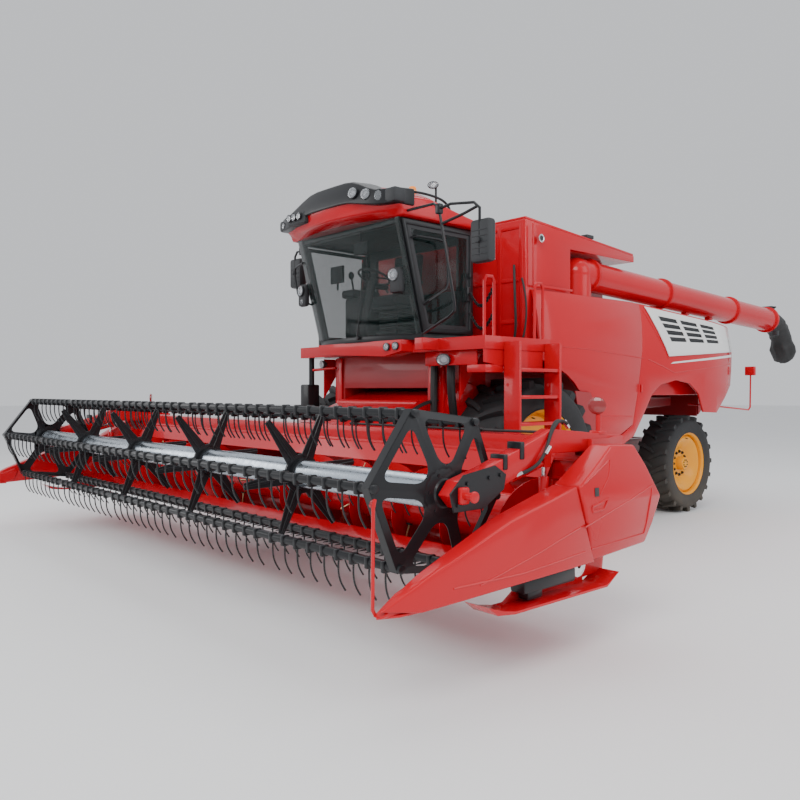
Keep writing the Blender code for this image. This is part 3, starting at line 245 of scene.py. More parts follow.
brightSteel = galvanised("brightSteel", {"colour": shade(0.80, 0.80, 0.81), "deep": shade(0.60, 0.61, 0.63),
                                         "spangle": 90.0, "rough": 0.06, "metal": 1.0})
brassRod = galvanised("brassRod", {"colour": shade(0.75, 0.60, 0.34), "deep": shade(0.50, 0.38, 0.18),
                                   "spangle": 60.0, "rough": 0.22, "metal": 1.0})
cabGlass = tintedGlass("cabGlass", {"colour": shade(0.006, 0.016, 0.015),
        "deep": shade(0.010, 0.024, 0.022), "alpha": 0.26})
clothGrey = seatCloth("seatCloth", {"colour": shade(0.030, 0.032, 0.036),
        "deep": shade(0.075, 0.078, 0.085), "weave": 180.0})
lensClear = lit("lensClear", {"colour": shade(0.50, 0.53, 0.56), "deep": shade(0.20, 0.22, 0.25),
                              "ribs": 18.0, "rough": 0.05, "alpha": 0.30, "glow": 0.02})
lensAmber = lit("lensAmber", {"colour": shade(0.95, 0.30, 0.01), "deep": shade(0.80, 0.16, 0.004),
                              "ribs": 30.0, "rough": 0.10, "alpha": 0.95, "glow": 0.45})
# the faint glow suits the tail and marker lamps; on the reflectors it is a painted glow
lensRed = lit("lensRed", {"colour": shade(0.30, 0.006, 0.008), "deep": shade(0.14, 0.002, 0.003),
                          "ribs": 70.0, "rough": 0.10, "alpha": 1.0, "glow": 0.02})
mirrorGlass = galvanised("mirrorGlass", {"colour": shade(0.86, 0.88, 0.90), "deep": shade(0.78, 0.80, 0.82),
                                         "spangle": 2.0, "rough": 0.01, "metal": 1.0})
print("finishes made")


# every shape below is a bmesh in metres, and piece() joins them in one object
def block(low, high, soft=0.0):
    shape = bmesh.new()
    low, high = Vector(low), Vector(high)
    bmesh.ops.create_cube(shape, size=1.0)
    bmesh.ops.scale(shape, vec=high - low, verts=shape.verts)
    bmesh.ops.translate(shape, vec=(low + high) / 2, verts=shape.verts)
    return eased(shape, soft)


def eased(shape, width, segments=2, angle=26.0):
    # rolls over every edge sharper than angle
    if width:
        shape.normal_update()
        limit = math.radians(angle)
        sharp = [e for e in shape.edges if len(e.link_faces) == 2 and e.calc_face_angle() > limit]
        bmesh.ops.bevel(shape, geom=sharp, offset=width, offset_type="OFFSET", affect="EDGES",
                        segments=segments, profile=0.5, material=-1, clamp_overlap=True)
    return shape


def rod(start, end, radius, sides=16, endRadius=None, soft=0.0):
    start, end = Vector(start), Vector(end)
    shape = bmesh.new()
    bmesh.ops.create_cone(shape, cap_ends=True, segments=sides, radius1=radius,
                          radius2=radius if endRadius is None else endRadius, depth=(end - start).length)
    eased(shape, soft, 2, 50.0)
    turn = (end - start).to_track_quat("Z", "Y").to_matrix().to_4x4()
    shape.transform(Matrix.Translation((start + end) / 2) @ turn)
    return shape


def ball(centre, radius, squash=(1, 1, 1), sides=20):
    shape = bmesh.new()
    bmesh.ops.create_uvsphere(shape, u_segments=sides, v_segments=sides // 2, radius=radius)
    bmesh.ops.scale(shape, vec=squash, verts=shape.verts)
    bmesh.ops.translate(shape, vec=centre, verts=shape.verts)
    return shape


def spread(axis, along, first, second):
    return {"X": (along, first, second), "Y": (first, along, second), "Z": (first, second, along)}[axis]


def thickened(shape, step):
    # gives an open sheet its thickness, which is one step to the side
    pushed = bmesh.ops.extrude_face_region(shape, geom=shape.faces[:], use_keep_orig=True)
    moved = [v for v in pushed["geom"] if isinstance(v, bmesh.types.BMVert)]
    bmesh.ops.translate(shape, vec=step, verts=moved)
    bmesh.ops.recalc_face_normals(shape, faces=shape.faces)
    return shape


def plate(outline, axis, low, high, soft=0.0, window=0.0):
    # a sheet cut to an outline in the two other axes; window leaves a frame of that width
    shape = bmesh.new()
    face = shape.faces.new([shape.verts.new(spread(axis, low, a, b)) for a, b in outline])
    if window:
        shape.normal_update()
        bmesh.ops.inset_region(shape, faces=[face], thickness=window, use_even_offset=True,
                               use_boundary=True)
        bmesh.ops.delete(shape, geom=[face], context="FACES_ONLY")
    thickened(shape, spread(axis, high - low, 0, 0))
    return eased(shape, soft, 1)


def turned(profile, centre, way=(1, 0, 0), steps=48):
    # spins a closed profile of (radius, along) about a line through centre
    shape = bmesh.new()
    corners = [shape.verts.new((radius, 0, along)) for radius, along in profile]
    for first, second in zip(corners, corners[1:] + corners[:1]):
        shape.edges.new((first, second))
    bmesh.ops.spin(shape, geom=shape.verts[:] + shape.edges[:], cent=(0, 0, 0), axis=(0, 0, 1),
                   dvec=(0, 0, 0), angle=2 * math.pi, steps=steps, use_merge=True, use_duplicate=False)
    bmesh.ops.remove_doubles(shape, verts=shape.verts, dist=0.00005)
    turn = Vector(way).to_track_quat("Z", "Y").to_matrix().to_4x4()
    shape.transform(Matrix.Translation(Vector(centre)) @ turn)
    return shape


def hose(points, radius, sides=8, smooth=True, steps=5):
    # a round tube along a route: a smooth curve, or straight runs
    curve = bpy.data.curves.new("route", "CURVE")
    curve.dimensions = "3D"
    curve.bevel_depth = radius
    curve.bevel_resolution = max(1, sides // 4)
    curve.use_fill_caps = True
    curve.resolution_u = steps
    line = curve.splines.new("NURBS" if smooth else "POLY")
    line.points.add(len(points) - 1)
    for point, spot in zip(line.points, points):
        point.co = (*spot, 1.0)
    if smooth:
        line.order_u = min(4, len(points))
        line.use_endpoint_u = True
    return fromCurve(curve)


def fromCurve(curve):
    holder = bpy.data.objects.new("route", curve)
    bpy.context.scene.collection.objects.link(holder)
    mesh = bpy.data.meshes.new_from_object(holder.evaluated_get(bpy.context.evaluated_depsgraph_get()))
    shape = bmesh.new()
    shape.from_mesh(mesh)
    bmesh.ops.remove_doubles(shape, verts=shape.verts, dist=0.00005)
    bpy.data.objects.remove(holder, do_unlink=True)
    bpy.data.curves.remove(curve)
    bpy.data.meshes.remove(mesh)
    return shape


def copied(shape, matrix):
    twin = shape.copy()
    twin.transform(matrix)
    return twin


def flipped(shape):
    # the same shape on the machine's other side
    return copied(shape, Matrix.Scale(-1, 4, (1, 0, 0)))


def onSide(side, shape):
    return shape if side > 0 else flipped(shape)


def bolts(spots, way, radius=0.012, height=0.010):
    way = Vector(way).normalized()
    return [rod(Vector(spot) - way * 0.004, Vector(spot) + way * height, radius, 6) for spot in spots]


def piece(name, shapes, material, body, replaces=(), smooth=32.0):
    # joins shapes in one object that rides on a body
    whole = bmesh.new()
    for shape in shapes:
        bmesh.ops.recalc_face_normals(shape, faces=shape.faces)
        if shape.calc_volume(signed=True) < 0:
            bmesh.ops.reverse_faces(shape, faces=shape.faces)
        single = bpy.data.meshes.new("single")
        shape.to_mesh(single)
        shape.free()
        whole.from_mesh(single)
        bpy.data.meshes.remove(single)
    mesh = bpy.data.meshes.new(name)
    whole.to_mesh(mesh)
    whole.free()
    mesh.shade_smooth()
    mesh.set_sharp_from_angle(angle=math.radians(smooth))
    mesh.materials.append(material)
    made = bpy.data.objects.new(name, mesh)
    bpy.context.scene.collection.objects.link(made)
    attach(made, body)
    if replaces:
        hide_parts(*replaces)
    return made


def sidePiece(name, side, shapes, material, body):
    # a piece drawn for the left side, turned over where it stands on the right
    return piece(name, [onSide(side, s) for s in shapes], material, body)


def softened(node, material, width=0.006, segments=2, angle=26.0):
    # the node's own shape with its edges rolled over, shown in its place
    shape = bmesh.new()
    shape.from_mesh(nodes[node].data)
    bmesh.ops.remove_doubles(shape, verts=shape.verts, dist=0.0002)
    bmesh.ops.dissolve_limit(shape, angle_limit=math.radians(1.0), verts=shape.verts[:],
                             edges=shape.edges[:], use_dissolve_boundaries=False)
    eased(shape, width, segments, angle)
    return piece(node + "_skin", [shape], material, bodyOfNode[node], [node])


def draped(shape, node, side, lift):
    # lays a shape against the outer face of a node, seen from its side
    skin = bmesh.new()
    skin.from_mesh(nodes[node].data)
    tree = BVHTree.FromBMesh(skin)
    for vert in shape.verts:
        start = Vector((side * 4.0, vert.co.y, vert.co.z))
        spot = tree.ray_cast(start, Vector((-side, 0, 0)))[0] or tree.find_nearest(start)[0]
        vert.co.x = spot.x + side * (lift + abs(vert.co.x))
    skin.free()
    return shape


wheelLook = {
    "front": {"radius": 0.93, "half": 0.35, "rim": 0.575, "lugs": 22, "lugHeight": 0.048, "lugWidth": 0.058,
              "dish": 0.02, "hub": 0.16, "bolts": 12, "boltRing": 0.205},
    "rear": {"radius": 0.686, "half": 0.24, "rim": 0.425, "lugs": 20, "lugHeight": 0.038, "lugWidth": 0.044,
             "dish": 0.04, "hub": 0.13, "bolts": 12, "boltRing": 0.165},
}


def treadRadius(look, across):
    # the carcass is crowned: lower towards its shoulders
    return look["radius"] - look["lugHeight"] - 0.035 * abs(across / look["half"]) ** 2.5


def chevronLug(look, side, turn):
    # one lug from the middle out over the shoulder, swept back at an angle
    reach = look["half"] * 0.98
    shape = bmesh.new()
    bmesh.ops.create_cube(shape, size=1.0)
    bmesh.ops.scale(shape, vec=(reach, look["lugWidth"], 1.0), verts=shape.verts)
    longEdges = [e for e in shape.edges if abs(e.verts[0].co.x - e.verts[1].co.x) > 0.01]
    bmesh.ops.subdivide_edges(shape, edges=longEdges, cuts=6, use_grid_fill=True)
    for vert in shape.verts:
        across = vert.co.x + reach / 2 - 0.02
        top = vert.co.z > 0
        widen = 1.0 if top else 1.55
        sweep = across * 0.62 * (1.0 - 0.25 * across / reach)
        along = vert.co.y * widen * (0.85 + 0.5 * across / reach) + sweep
        ground = treadRadius(look, across)
        crown = 0.030 * max(0.0, across / look["half"]) ** 2.5
        height = ground + (look["lugHeight"] + crown if top else -0.03)
        height = min(height, look["radius"] - 0.060 * max(0.0, across / look["half"] - 0.80))
        angle = turn + along / look["radius"]
        vert.co = (side * across, height * math.sin(angle), height * math.cos(angle))
    return shape


def tyre(name, look, centre):
    rim, half, radius = look["rim"], look["half"], look["radius"]
    wall = radius - rim
    outer = []
    for step in range(13):
        across = half * 0.88 * (1 - step / 6)
        outer.append((treadRadius(look, across), across))
    shoulder = [(radius - 0.16 * wall - look["lugHeight"], half * 0.955), (rim + 0.62 * wall, half * 0.995),
                (rim + 0.42 * wall, half), (rim + 0.22 * wall, half * 0.965),
                (rim + 0.10 * wall, half * 0.90), (rim + 0.055 * wall, half * 0.91),
                (rim + 0.02, half * 0.87), (rim, half * 0.84)]
    profile = shoulder[::-1] + outer + [(r, -x) for r, x in shoulder]
    shapes = [turned(profile, centre, (1, 0, 0), 64)]
    for number in range(look["lugs"]):
        for side in (1, -1):
            turn = 2 * math.pi * (number + (0.5 if side > 0 else 0.0)) / look["lugs"]
            lug = chevronLug(look, side, -turn)
            bmesh.ops.translate(lug, vec=centre, verts=lug.verts)
            shapes.append(lug)
    piece(name + "_treaded", shapes, tyreRubber, bodyOfNode[name], [name], 40.0)


def rim(name, look, centre, side):
    hub, dish, edge = look["hub"], look["dish"], look["half"] * 0.86
    seat = look["rim"] - 0.002
    inner = seat - 0.020
    outline = [(hub * 0.40, dish + 0.125), (hub * 0.62, dish + 0.120), (hub * 0.70, dish + 0.095),
               (hub * 0.76, dish + 0.030), (hub * 1.55, dish + 0.024), (hub * 1.75, dish + 0.040),
               (inner * 0.80, dish + 0.120), (inner * 0.93, dish + 0.128), (inner, dish + 0.105),
               (inner, edge * 0.62), (inner + 0.008, edge * 0.66), (inner + 0.006, edge * 0.90),
               (inner + 0.012, edge * 0.96), (seat + 0.016, edge + 0.008), (seat + 0.018, edge - 0.004),
               (seat, edge - 0.02), (seat, -edge + 0.02), (seat + 0.016, -edge - 0.006), (inner, -edge),
               (inner, dish + 0.07), (inner * 0.80, dish + 0.090), (hub * 1.6, dish), (0.001, dish),
               (0.001, dish + 0.125)]
    spun = [turned([(r, side * x) for r, x in outline], centre, (1, 0, 0), 64)]
    ring = look["boltRing"]
    nuts = []
    for number in range(look["bolts"]):
        angle = 2 * math.pi * number / look["bolts"]
        spot = Vector(centre) + Vector((side * (dish + 0.024), ring * math.cos(angle),
                ring * math.sin(angle)))
        nuts.append(rod(spot, spot + Vector((side * 0.026, 0, 0)), 0.017, 6, soft=0.002))
        nuts.append(rod(spot, spot + Vector((side * 0.006, 0, 0)), 0.025, 14))
    for number in range(8):
        angle = 2 * math.pi * (number + 0.5) / 8
        spot = Vector(centre) + Vector((side * (dish + 0.118), 0.38 * hub * math.cos(angle),
                0.38 * hub * math.sin(angle)))
        nuts.append(rod(spot, spot + Vector((side * 0.016, 0, 0)), 0.009, 6))
    stem = Vector(centre) + Vector((side * (dish + 0.11), 0, inner * 0.9))
    nuts.append(rod(stem, stem + Vector((side * 0.05, 0, -0.01)), 0.007, 8))
    body = bodyOfNode[name]
    piece(name + "_dished", spun, yellowPaint, body, [name])
    piece(name + "_nuts", nuts, blackPaint, body)


for side, word in ((1, "left"), (-1, "right")):
    for end in ("front", "rear"):
        low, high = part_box(f"{end}_tyre_{word}")
        middle = (low + high) / 2
        tyre(f"{end}_tyre_{word}", wheelLook[end], middle)
        rim(f"{end}_rim_{word}", wheelLook[end], middle, side)
print("wheels made")


def chassis():
    # frame and threshing body behind the panels get the darker red: painted shade
    for node in ("chassis_frame", "threshing_body"):
        softened(node, shadedRedPaint, 0.008)
    softened("rear_axle", blackPaint, 0.008)
    softened("engine", blackPaint, 0.03)
    for word in ("left", "right"):
        softened(f"knuckle_{word}", blackPaint, 0.004)


def finalDrives():
    # the gear cases inboard of the front wheels
    look = {"caseRadius": 0.27, "caseInner": 0.78, "caseOuter": 1.06, "neck": 0.17}
    low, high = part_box("front_tyre_left")
    y, z = (low.y + high.y) / 2, (low.z + high.z) / 2
    for side, word in ((1, "left"), (-1, "right")):
        case = turned([(0.001, look["caseInner"]), (look["neck"], look["caseInner"]), (look["neck"], 0.83),
                       (look["caseRadius"], 0.86), (look["caseRadius"], look["caseOuter"] - 0.03),
                       (look["neck"] + 0.03, look["caseOuter"]), (look["neck"], look["caseOuter"] + 0.08),
                       (0.001, look["caseOuter"] + 0.08)], (0, y, z), (1, 0, 0), 40)
        ring = []
        for number in range(16):
            angle = 2 * math.pi * number / 16
            ring.append((look["caseOuter"] - 0.03, y + 0.235 * math.cos(angle),
                         z + 0.235 * math.sin(angle)))
        shapes = [case] + bolts(ring, (1, 0, 0), 0.013, 0.014)
        drop = block((0.80, y - 0.13, z), (0.98, y + 0.13, z + 0.30), 0.03)
        sidePiece(f"final_drive_{word}", side, shapes + [drop], blackPaint, "root")


def underbody():
    # pulleys, a belt, pipes and stiffeners that show below the side panels, and the steering ram
    look = {"pulleys": [(-0.55, 1.30, 0.17), (0.05, 1.22, 0.13), (0.55, 1.36, 0.21), (-0.95, 1.62, 0.12)],
            "face": 0.87, "sheave": 0.055}
    for side, word in ((1, "left"), (-1, "right")):
        sheaves = []
        for y, z, radius in look["pulleys"]:
            groove = [(0.02, 0.0), (radius, 0.0), (radius, 0.010), (radius - 0.022, 0.020),
                      (radius - 0.022, 0.036), (radius, 0.046), (radius, look["sheave"]),
                      (radius * 0.80, look["sheave"]), (radius * 0.74, 0.030), (0.06, 0.030), (0.05, 0.075),
                      (0.02, 0.075)]
            sheaves.append(turned(groove, (look["face"], y, z), (1, 0, 0), 36))
        sidePiece(f"pulleys_{word}", side, sheaves, blackPaint, "root")
        loop = []
        (y1, z1, r1), (y2, z2, r2) = look["pulleys"][0], look["pulleys"][2]
        for step in range(12):
            angle = math.radians(95 + 170 * step / 11)
            loop.append((look["face"] + 0.028, y1 + r1 * math.cos(angle), z1 + r1 * math.sin(angle)))
        for step in range(12):
            angle = math.radians(-90 + 185 * step / 11)
            loop.append((look["face"] + 0.028, y2 + r2 * math.cos(angle), z2 + r2 * math.sin(angle)))
        belt = hose(loop + loop[:1], 0.011, 8, smooth=False)
        pipes = [hose([(0.93, -1.2, 1.12), (0.95, -0.6, 1.05), (0.92, 0.2, 1.10), (0.90, 1.0, 1.18),
                       (0.70, 1.5, 1.10)], 0.014), hose([(0.90, -1.2, 1.16), (0.92, -0.5, 1.12),
                (0.90, 0.4, 1.16), (0.84, 1.2, 1.30)], 0.010)]
        sidePiece(f"belt_and_pipes_{word}", side, [belt] + pipes, hoseRubber, "root")
        # the stiffeners below the panels get the darker red: painted shade
        ribs = [block((0.86, y, 1.16), (0.885, y + 0.04, 2.20), 0.004) for y in (-1.0, -0.35, 0.3, 0.95)]
        ribs.append(block((0.86, -1.1, 1.93), (0.90, 1.1, 1.99), 0.006))
        ribs.append(block((0.44, 1.52, 1.06), (0.66, 1.58, 1.44), 0.01))
        sidePiece(f"body_stiffeners_{word}", side, ribs, shadedRedPaint, "root")
    ram = [rod((-0.62, 2.27, 0.70), (0.10, 2.27, 0.70), 0.035, 20, soft=0.004)]
    ram += [rod((-0.66, 2.27, 0.70), (-0.62, 2.27, 0.70), 0.042, 20),
            rod((0.08, 2.27, 0.70), (0.12, 2.27, 0.70), 0.042, 20)]
    ram.append(block((-0.45, 2.215, 0.66), (-0.37, 2.30, 0.74), 0.006))
    piece("steering_ram", ram, blackPaint, "root")
    piece("steering_ram_rod", [rod((0.10, 2.27, 0.70), (0.52, 2.27, 0.70), 0.016, 16)], brightSteel, "root")


def frontPanel():
    # posts either side of the feeder house, the belt cover and the intake hoses
    shapes = []
    for side in (1, -1):
        post = block((0.765, -2.425, 1.10), (0.855, -2.400, 2.12), 0.008)
        rib = block((0.86, -2.38, 1.15), (0.95, -1.70, 2.12), 0.01)
        gusset = plate([(-2.38, 2.12), (-2.38, 1.62), (-2.05, 2.12)], "X", 1.18, 1.20, 0.003)
        shapes += [onSide(side, s) for s in (post, rib, gusset)]
    piece("front_posts", shapes, redPaint, "root")
    cover = turned([(0.001, 0.0), (0.26, 0.0), (0.26, 0.05), (0.235, 0.10), (0.12, 0.13), (0.001, 0.135)],
                   (0.96, -2.10, 1.56), (1, 0, 0), 48)
    arm = plate([(-2.38, 2.05), (-2.20, 2.10), (-1.95, 1.60), (-2.12, 1.36), (-2.30, 1.50)], "X", 0.965,
                1.01, 0.006)
    piece("belt_cover", [cover, arm], redPaint, "root")
    guard = hose([(1.12, -2.42, 2.06), (1.16, -2.50, 1.86), (1.14, -2.44, 1.66), (1.05, -2.32, 1.46)],
                 0.045, 12)
    strap = hose([(0.88, -2.44, 1.98), (0.90, -2.47, 1.75), (0.88, -2.45, 1.50), (0.86, -2.43, 1.22)],
                 0.040, 12)
    piece("intake_hose", [guard, strap], hoseRubber, "root")


def mudguards():
    for side, word in ((1, "left"), (-1, "right")):
        # the mudguards under the body get the darker red: painted shade
        sheet = plate([(-0.92, 1.72), (-0.62, 1.70), (-0.44, 1.42), (-0.56, 1.18), (-0.80, 1.26)], "X",
                      1.592, 1.606, 0.003)
        rear = [block((1.16, -0.62, 1.02), (1.60, -0.60, 1.62), 0.004)]
        stay = rod((0.86, -0.58, 1.30), (1.60, -0.61, 1.44), 0.016, 10)
        sidePiece(f"mudguard_{word}", side, [sheet, stay] + rear, shadedRedPaint, "root")


chassis()
finalDrives()
underbody()
frontPanel()
mudguards()
print("chassis made")


louvreLook = {
    # corners as (y, z): upper front, lower front, lower rear, upper rear
    "corners": [(0.70, 2.80), (1.17, 2.17), (3.235, 2.30), (3.165, 2.66)],
    "columns": [0.0, 0.085, 0.275, 0.315, 0.500, 0.540, 0.715, 1.0],
    "rows": [0.0, 0.16, 0.255, 0.305, 0.400, 0.450, 0.545, 0.595, 0.690, 1.0],
    "openColumns": (1, 3, 5), "openRows": (1, 3, 5, 7), "thick": 0.014,
}


def louvrePanel(word, side, look):
    # a white sheet laid on the rear panel, with rows of slots over a dark screen
    upperFront, lowerFront, lowerRear, upperRear = [Vector(c) for c in look["corners"]]
    columns, rows = look["columns"], look["rows"]
    node = f"rear_side_panel_{word}"

    def spot(along, down):
        top = upperFront.lerp(upperRear, along)
        return top.lerp(lowerFront.lerp(lowerRear, along), down)

    sheet = bmesh.new()
    bmesh.ops.create_grid(sheet, x_segments=len(columns) - 1, y_segments=len(rows) - 1, size=0.5)
    faces = {}
    for face in sheet.faces:
        middle = face.calc_center_median()
        faces[int((middle.x + 0.5) * (len(columns) - 1)), int((middle.y + 0.5) * (len(rows) - 1))] = face
    for vert in sheet.verts:
        column = round((vert.co.x + 0.5) * (len(columns) - 1))
        row = round((vert.co.y + 0.5) * (len(rows) - 1))
        place = spot(columns[column] + 0.02 * rows[row] * (1 if 0 < column < 7 else 0), rows[row])
        vert.co = (0, place.x, place.y)
    slots = [faces[c, r] for c in look["openColumns"] for r in look["openRows"]]
    screen = [[Vector(v.co) for v in face.verts] for face in slots]
    bmesh.ops.delete(sheet, geom=slots, context="FACES")
    bmesh.ops.subdivide_edges(sheet, edges=sheet.edges[:], cuts=2, use_grid_fill=True)
    backing = bmesh.new()
    bmesh.ops.create_grid(backing, x_segments=12, y_segments=8, size=0.5)
    for vert in backing.verts:
        place = spot(0.07 + 0.66 * (vert.co.x + 0.5), 0.13 + 0.60 * (vert.co.y + 0.5))
        vert.co = (0, place.x, place.y)
    draped(backing, node, side, 0.0015)
    draped(sheet, node, side, 0.005)
    for shape, depth in ((sheet, look["thick"]), (backing, 0.002)):
        thickened(shape, (side * depth, 0, 0))
    eased(sheet, 0.004, 2, 50.0)
    blades = []
    for corners in screen:
        low = Vector((0, min(c.y for c in corners), min(c.z for c in corners)))
        high = Vector((0, max(c.y for c in corners), max(c.z for c in corners)))
        middle = (low.z + high.z) / 2
        blade = block((0.004, low.y + 0.01, middle - 0.004), (0.010, high.y - 0.01, middle + 0.004))
        blades.append(draped(blade, node, side, 0.002))
    body = bodyOfNode[node]
    piece(f"louvre_panel_{word}", [sheet], whitePaint, body)
    piece(f"louvre_screen_{word}", [backing], blackPlastic, body)
    piece(f"louvre_blades_{word}", blades, blackPaint, body)


def trimStrip(side, outline, node, lift, depth):
    # a thin strip cut to an outline and laid on a panel
    shape = bmesh.new()
    face = shape.faces.new([shape.verts.new((0, y, z)) for y, z in outline])
    bmesh.ops.triangulate(shape, faces=[face])
    bmesh.ops.subdivide_edges(shape, edges=shape.edges[:], cuts=5, use_grid_fill=True)
    draped(shape, node, side, lift)
    return thickened(shape, (side * depth, 0, 0))


def bead(side, route, node, radius, lift=0.0):
    # a raised or sunk line pressed in a panel, along a route of (y, z)
    points = []
    for (y1, z1), (y2, z2) in zip(route, route[1:]):
        points += [(0, y1 + (y2 - y1) * k / 8, z1 + (z2 - z1) * k / 8) for k in range(8)]
    points.append((0, *route[-1]))
    guide = bmesh.new()
    for spot in points:
        guide.verts.new(spot)
    draped(guide, node, side, lift)
    guide.verts.ensure_lookup_table()
    path = [v.co[:] for v in guide.verts]
    guide.free()
    return hose(path, radius, 8, smooth=False)


def sidePanels():
    for side, word in ((1, "left"), (-1, "right")):
        for end in ("front", "rear"):
            softened(f"{end}_side_panel_{word}", redPaint, 0.008, 2, 40.0)
        louvrePanel(word, side, louvreLook)
        rear, front = f"rear_side_panel_{word}", f"front_side_panel_{word}"
        stripe = [(1.22, 2.075), (3.235, 2.225), (3.240, 2.262), (1.30, 2.100)]
        piece(f"pale_stripe_{word}", [trimStrip(side, stripe, rear, 0.001, 0.003)], whitePaint,
              bodyOfNode[rear])
        creases = [bead(side, [(0.66, 2.12), (1.10, 2.02), (1.32, 1.96), (3.16, 2.12)], rear, 0.008,
                        -0.002), bead(side, [(1.17, 2.14), (0.66, 2.74)], rear, 0.007, 0.0)]
        piece(f"rear_creases_{word}", creases, redPaint, bodyOfNode[rear])
        creases = [bead(side, [(-1.45, 2.22), (-0.60, 2.20), (0.56, 2.13)], front, 0.008, -0.002),
                   bead(side, [(-0.40, 1.42), (0.36, 1.40)], front, 0.007, -0.002)]
        latch = [draped(block((0.0, 0.50, 1.70), (0.012, 0.54, 1.80), 0.003), front, side, 0.0)]
        piece(f"front_creases_{word}", creases + latch, redPaint, bodyOfNode[front])


def rearHood():
    softened("rear_hood", redPaint, 0.018, 3)
    look = {"lampX": 1.02, "lampZ": 2.02, "lampRadius": 0.055, "slats": 13, "slatPitch": 0.034, "vanes": 10}
    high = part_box("rear_hood")[1]
    rear = high.y
    door = plate([(-0.82, 2.46), (0.82, 2.46), (0.82, 1.95), (-0.82, 1.95)], "Y", rear - 0.035,
                 rear + 0.004, 0.006, 0.03)
    grille = [block((-0.76, rear - 0.030, z), (0.76, rear - 0.004, z + 0.018), 0.003) for z in
              [1.99 + look["slatPitch"] * k for k in range(look["slats"])]]
    handle = hose([(-0.10, rear, 2.34), (-0.10, rear + 0.04, 2.34), (0.10, rear + 0.04, 2.34),
                   (0.10, rear, 2.34)], 0.008, 8, False)
    ledge = plate([(1.355, 0.62), (1.495, 0.62), (1.485, 2.40), (1.402, 3.10), (1.39, 3.25), (1.355, 3.25)],
                  "Z", 2.590, 2.604, 0.002)
    piece("deck_ledges", [flipped(ledge), ledge], redPaint, "root")
    piece("tail_door_frame", [door, handle], redPaint, "root")
    piece("tail_grille", grille, blackPaint, "root")
    for side, word in ((1, "left"), (-1, "right")):
        cup = rod((side * look["lampX"], rear - 0.05, look["lampZ"]),
                  (side * look["lampX"], rear + 0.012, look["lampZ"]), look["lampRadius"] + 0.008, 28,
                  soft=0.004)
        lens = rod((side * look["lampX"], rear, look["lampZ"]),
                   (side * look["lampX"], rear + 0.020, look["lampZ"]), look["lampRadius"], 28, soft=0.008)
        piece(f"tail_lamp_cup_{word}", [cup], blackPlastic, "root")
        piece(f"tail_lamp_{word}", [lens], lensRed, "root")
    # straw spreader: a plate, two cheeks and its vanes
    skirt = plate([(2.84, 1.66), (3.22, 1.78), (3.24, 1.62), (2.86, 1.36)], "X", -1.14, -1.12, 0.003)
    hoodPlate = block((-1.12, 2.84, 1.34), (1.12, 2.87, 1.66), 0.004)
    vanes = [plate([(2.87, 1.60), (3.18, 1.70), (3.20, 1.60), (2.87, 1.38)], "X", x - 0.004, x + 0.004,
                   0.002) for x in [-0.9 + 0.2 * k for k in range(look["vanes"])]]
    # the spreader under the rear gets the darker red: painted shade
    piece("straw_spreader", [skirt, flipped(skirt), hoodPlate] + vanes, shadedRedPaint, "root")
    deckRails = [hose([(side * 1.20, 0.72, high.z - 0.12), (side * 1.20, 0.72, high.z + 0.10),
                       (side * 1.20, 1.6, high.z + 0.06), (side * 1.20, 1.6, high.z - 0.16)], 0.012, 8,
                      False) for side in (1, -1)]
    screen = [block((-1.0, 0.9 + 0.07 * k, high.z - 0.045 - 0.0028 * k),
                    (0.2, 0.93 + 0.07 * k, high.z + 0.012 - 0.0028 * k), 0.003) for k in range(16)]
    piece("deck_screen", screen, blackPaint, "root")
    piece("deck_rails", deckRails, redPaint, "root")


def markerLamps():
    # lamps carried out behind on bent rods
    for side, word in ((1, "left"), (-1, "right")):
        x = side * 1.42
        arm = hose([(side * 1.10, 2.62, 1.52), (x, 2.72, 1.50), (x, 3.92, 1.42), (x, 3.98, 1.46),
                    (x, 3.99, 1.98)], 0.013, 8, False)
        cup = block((x - 0.075, 3.945, 1.96), (x + 0.075, 4.02, 2.10), 0.012)
        piece(f"marker_arm_{word}", [arm, cup], redPaint, "root")
        lens = [block((x - 0.062, 4.012, 1.98), (x + 0.062, 4.030, 2.085), 0.008)]
        piece(f"marker_lens_{word}", lens, lensRed, "root")


sidePanels()
rearHood()
markerLamps()
print("panels made")


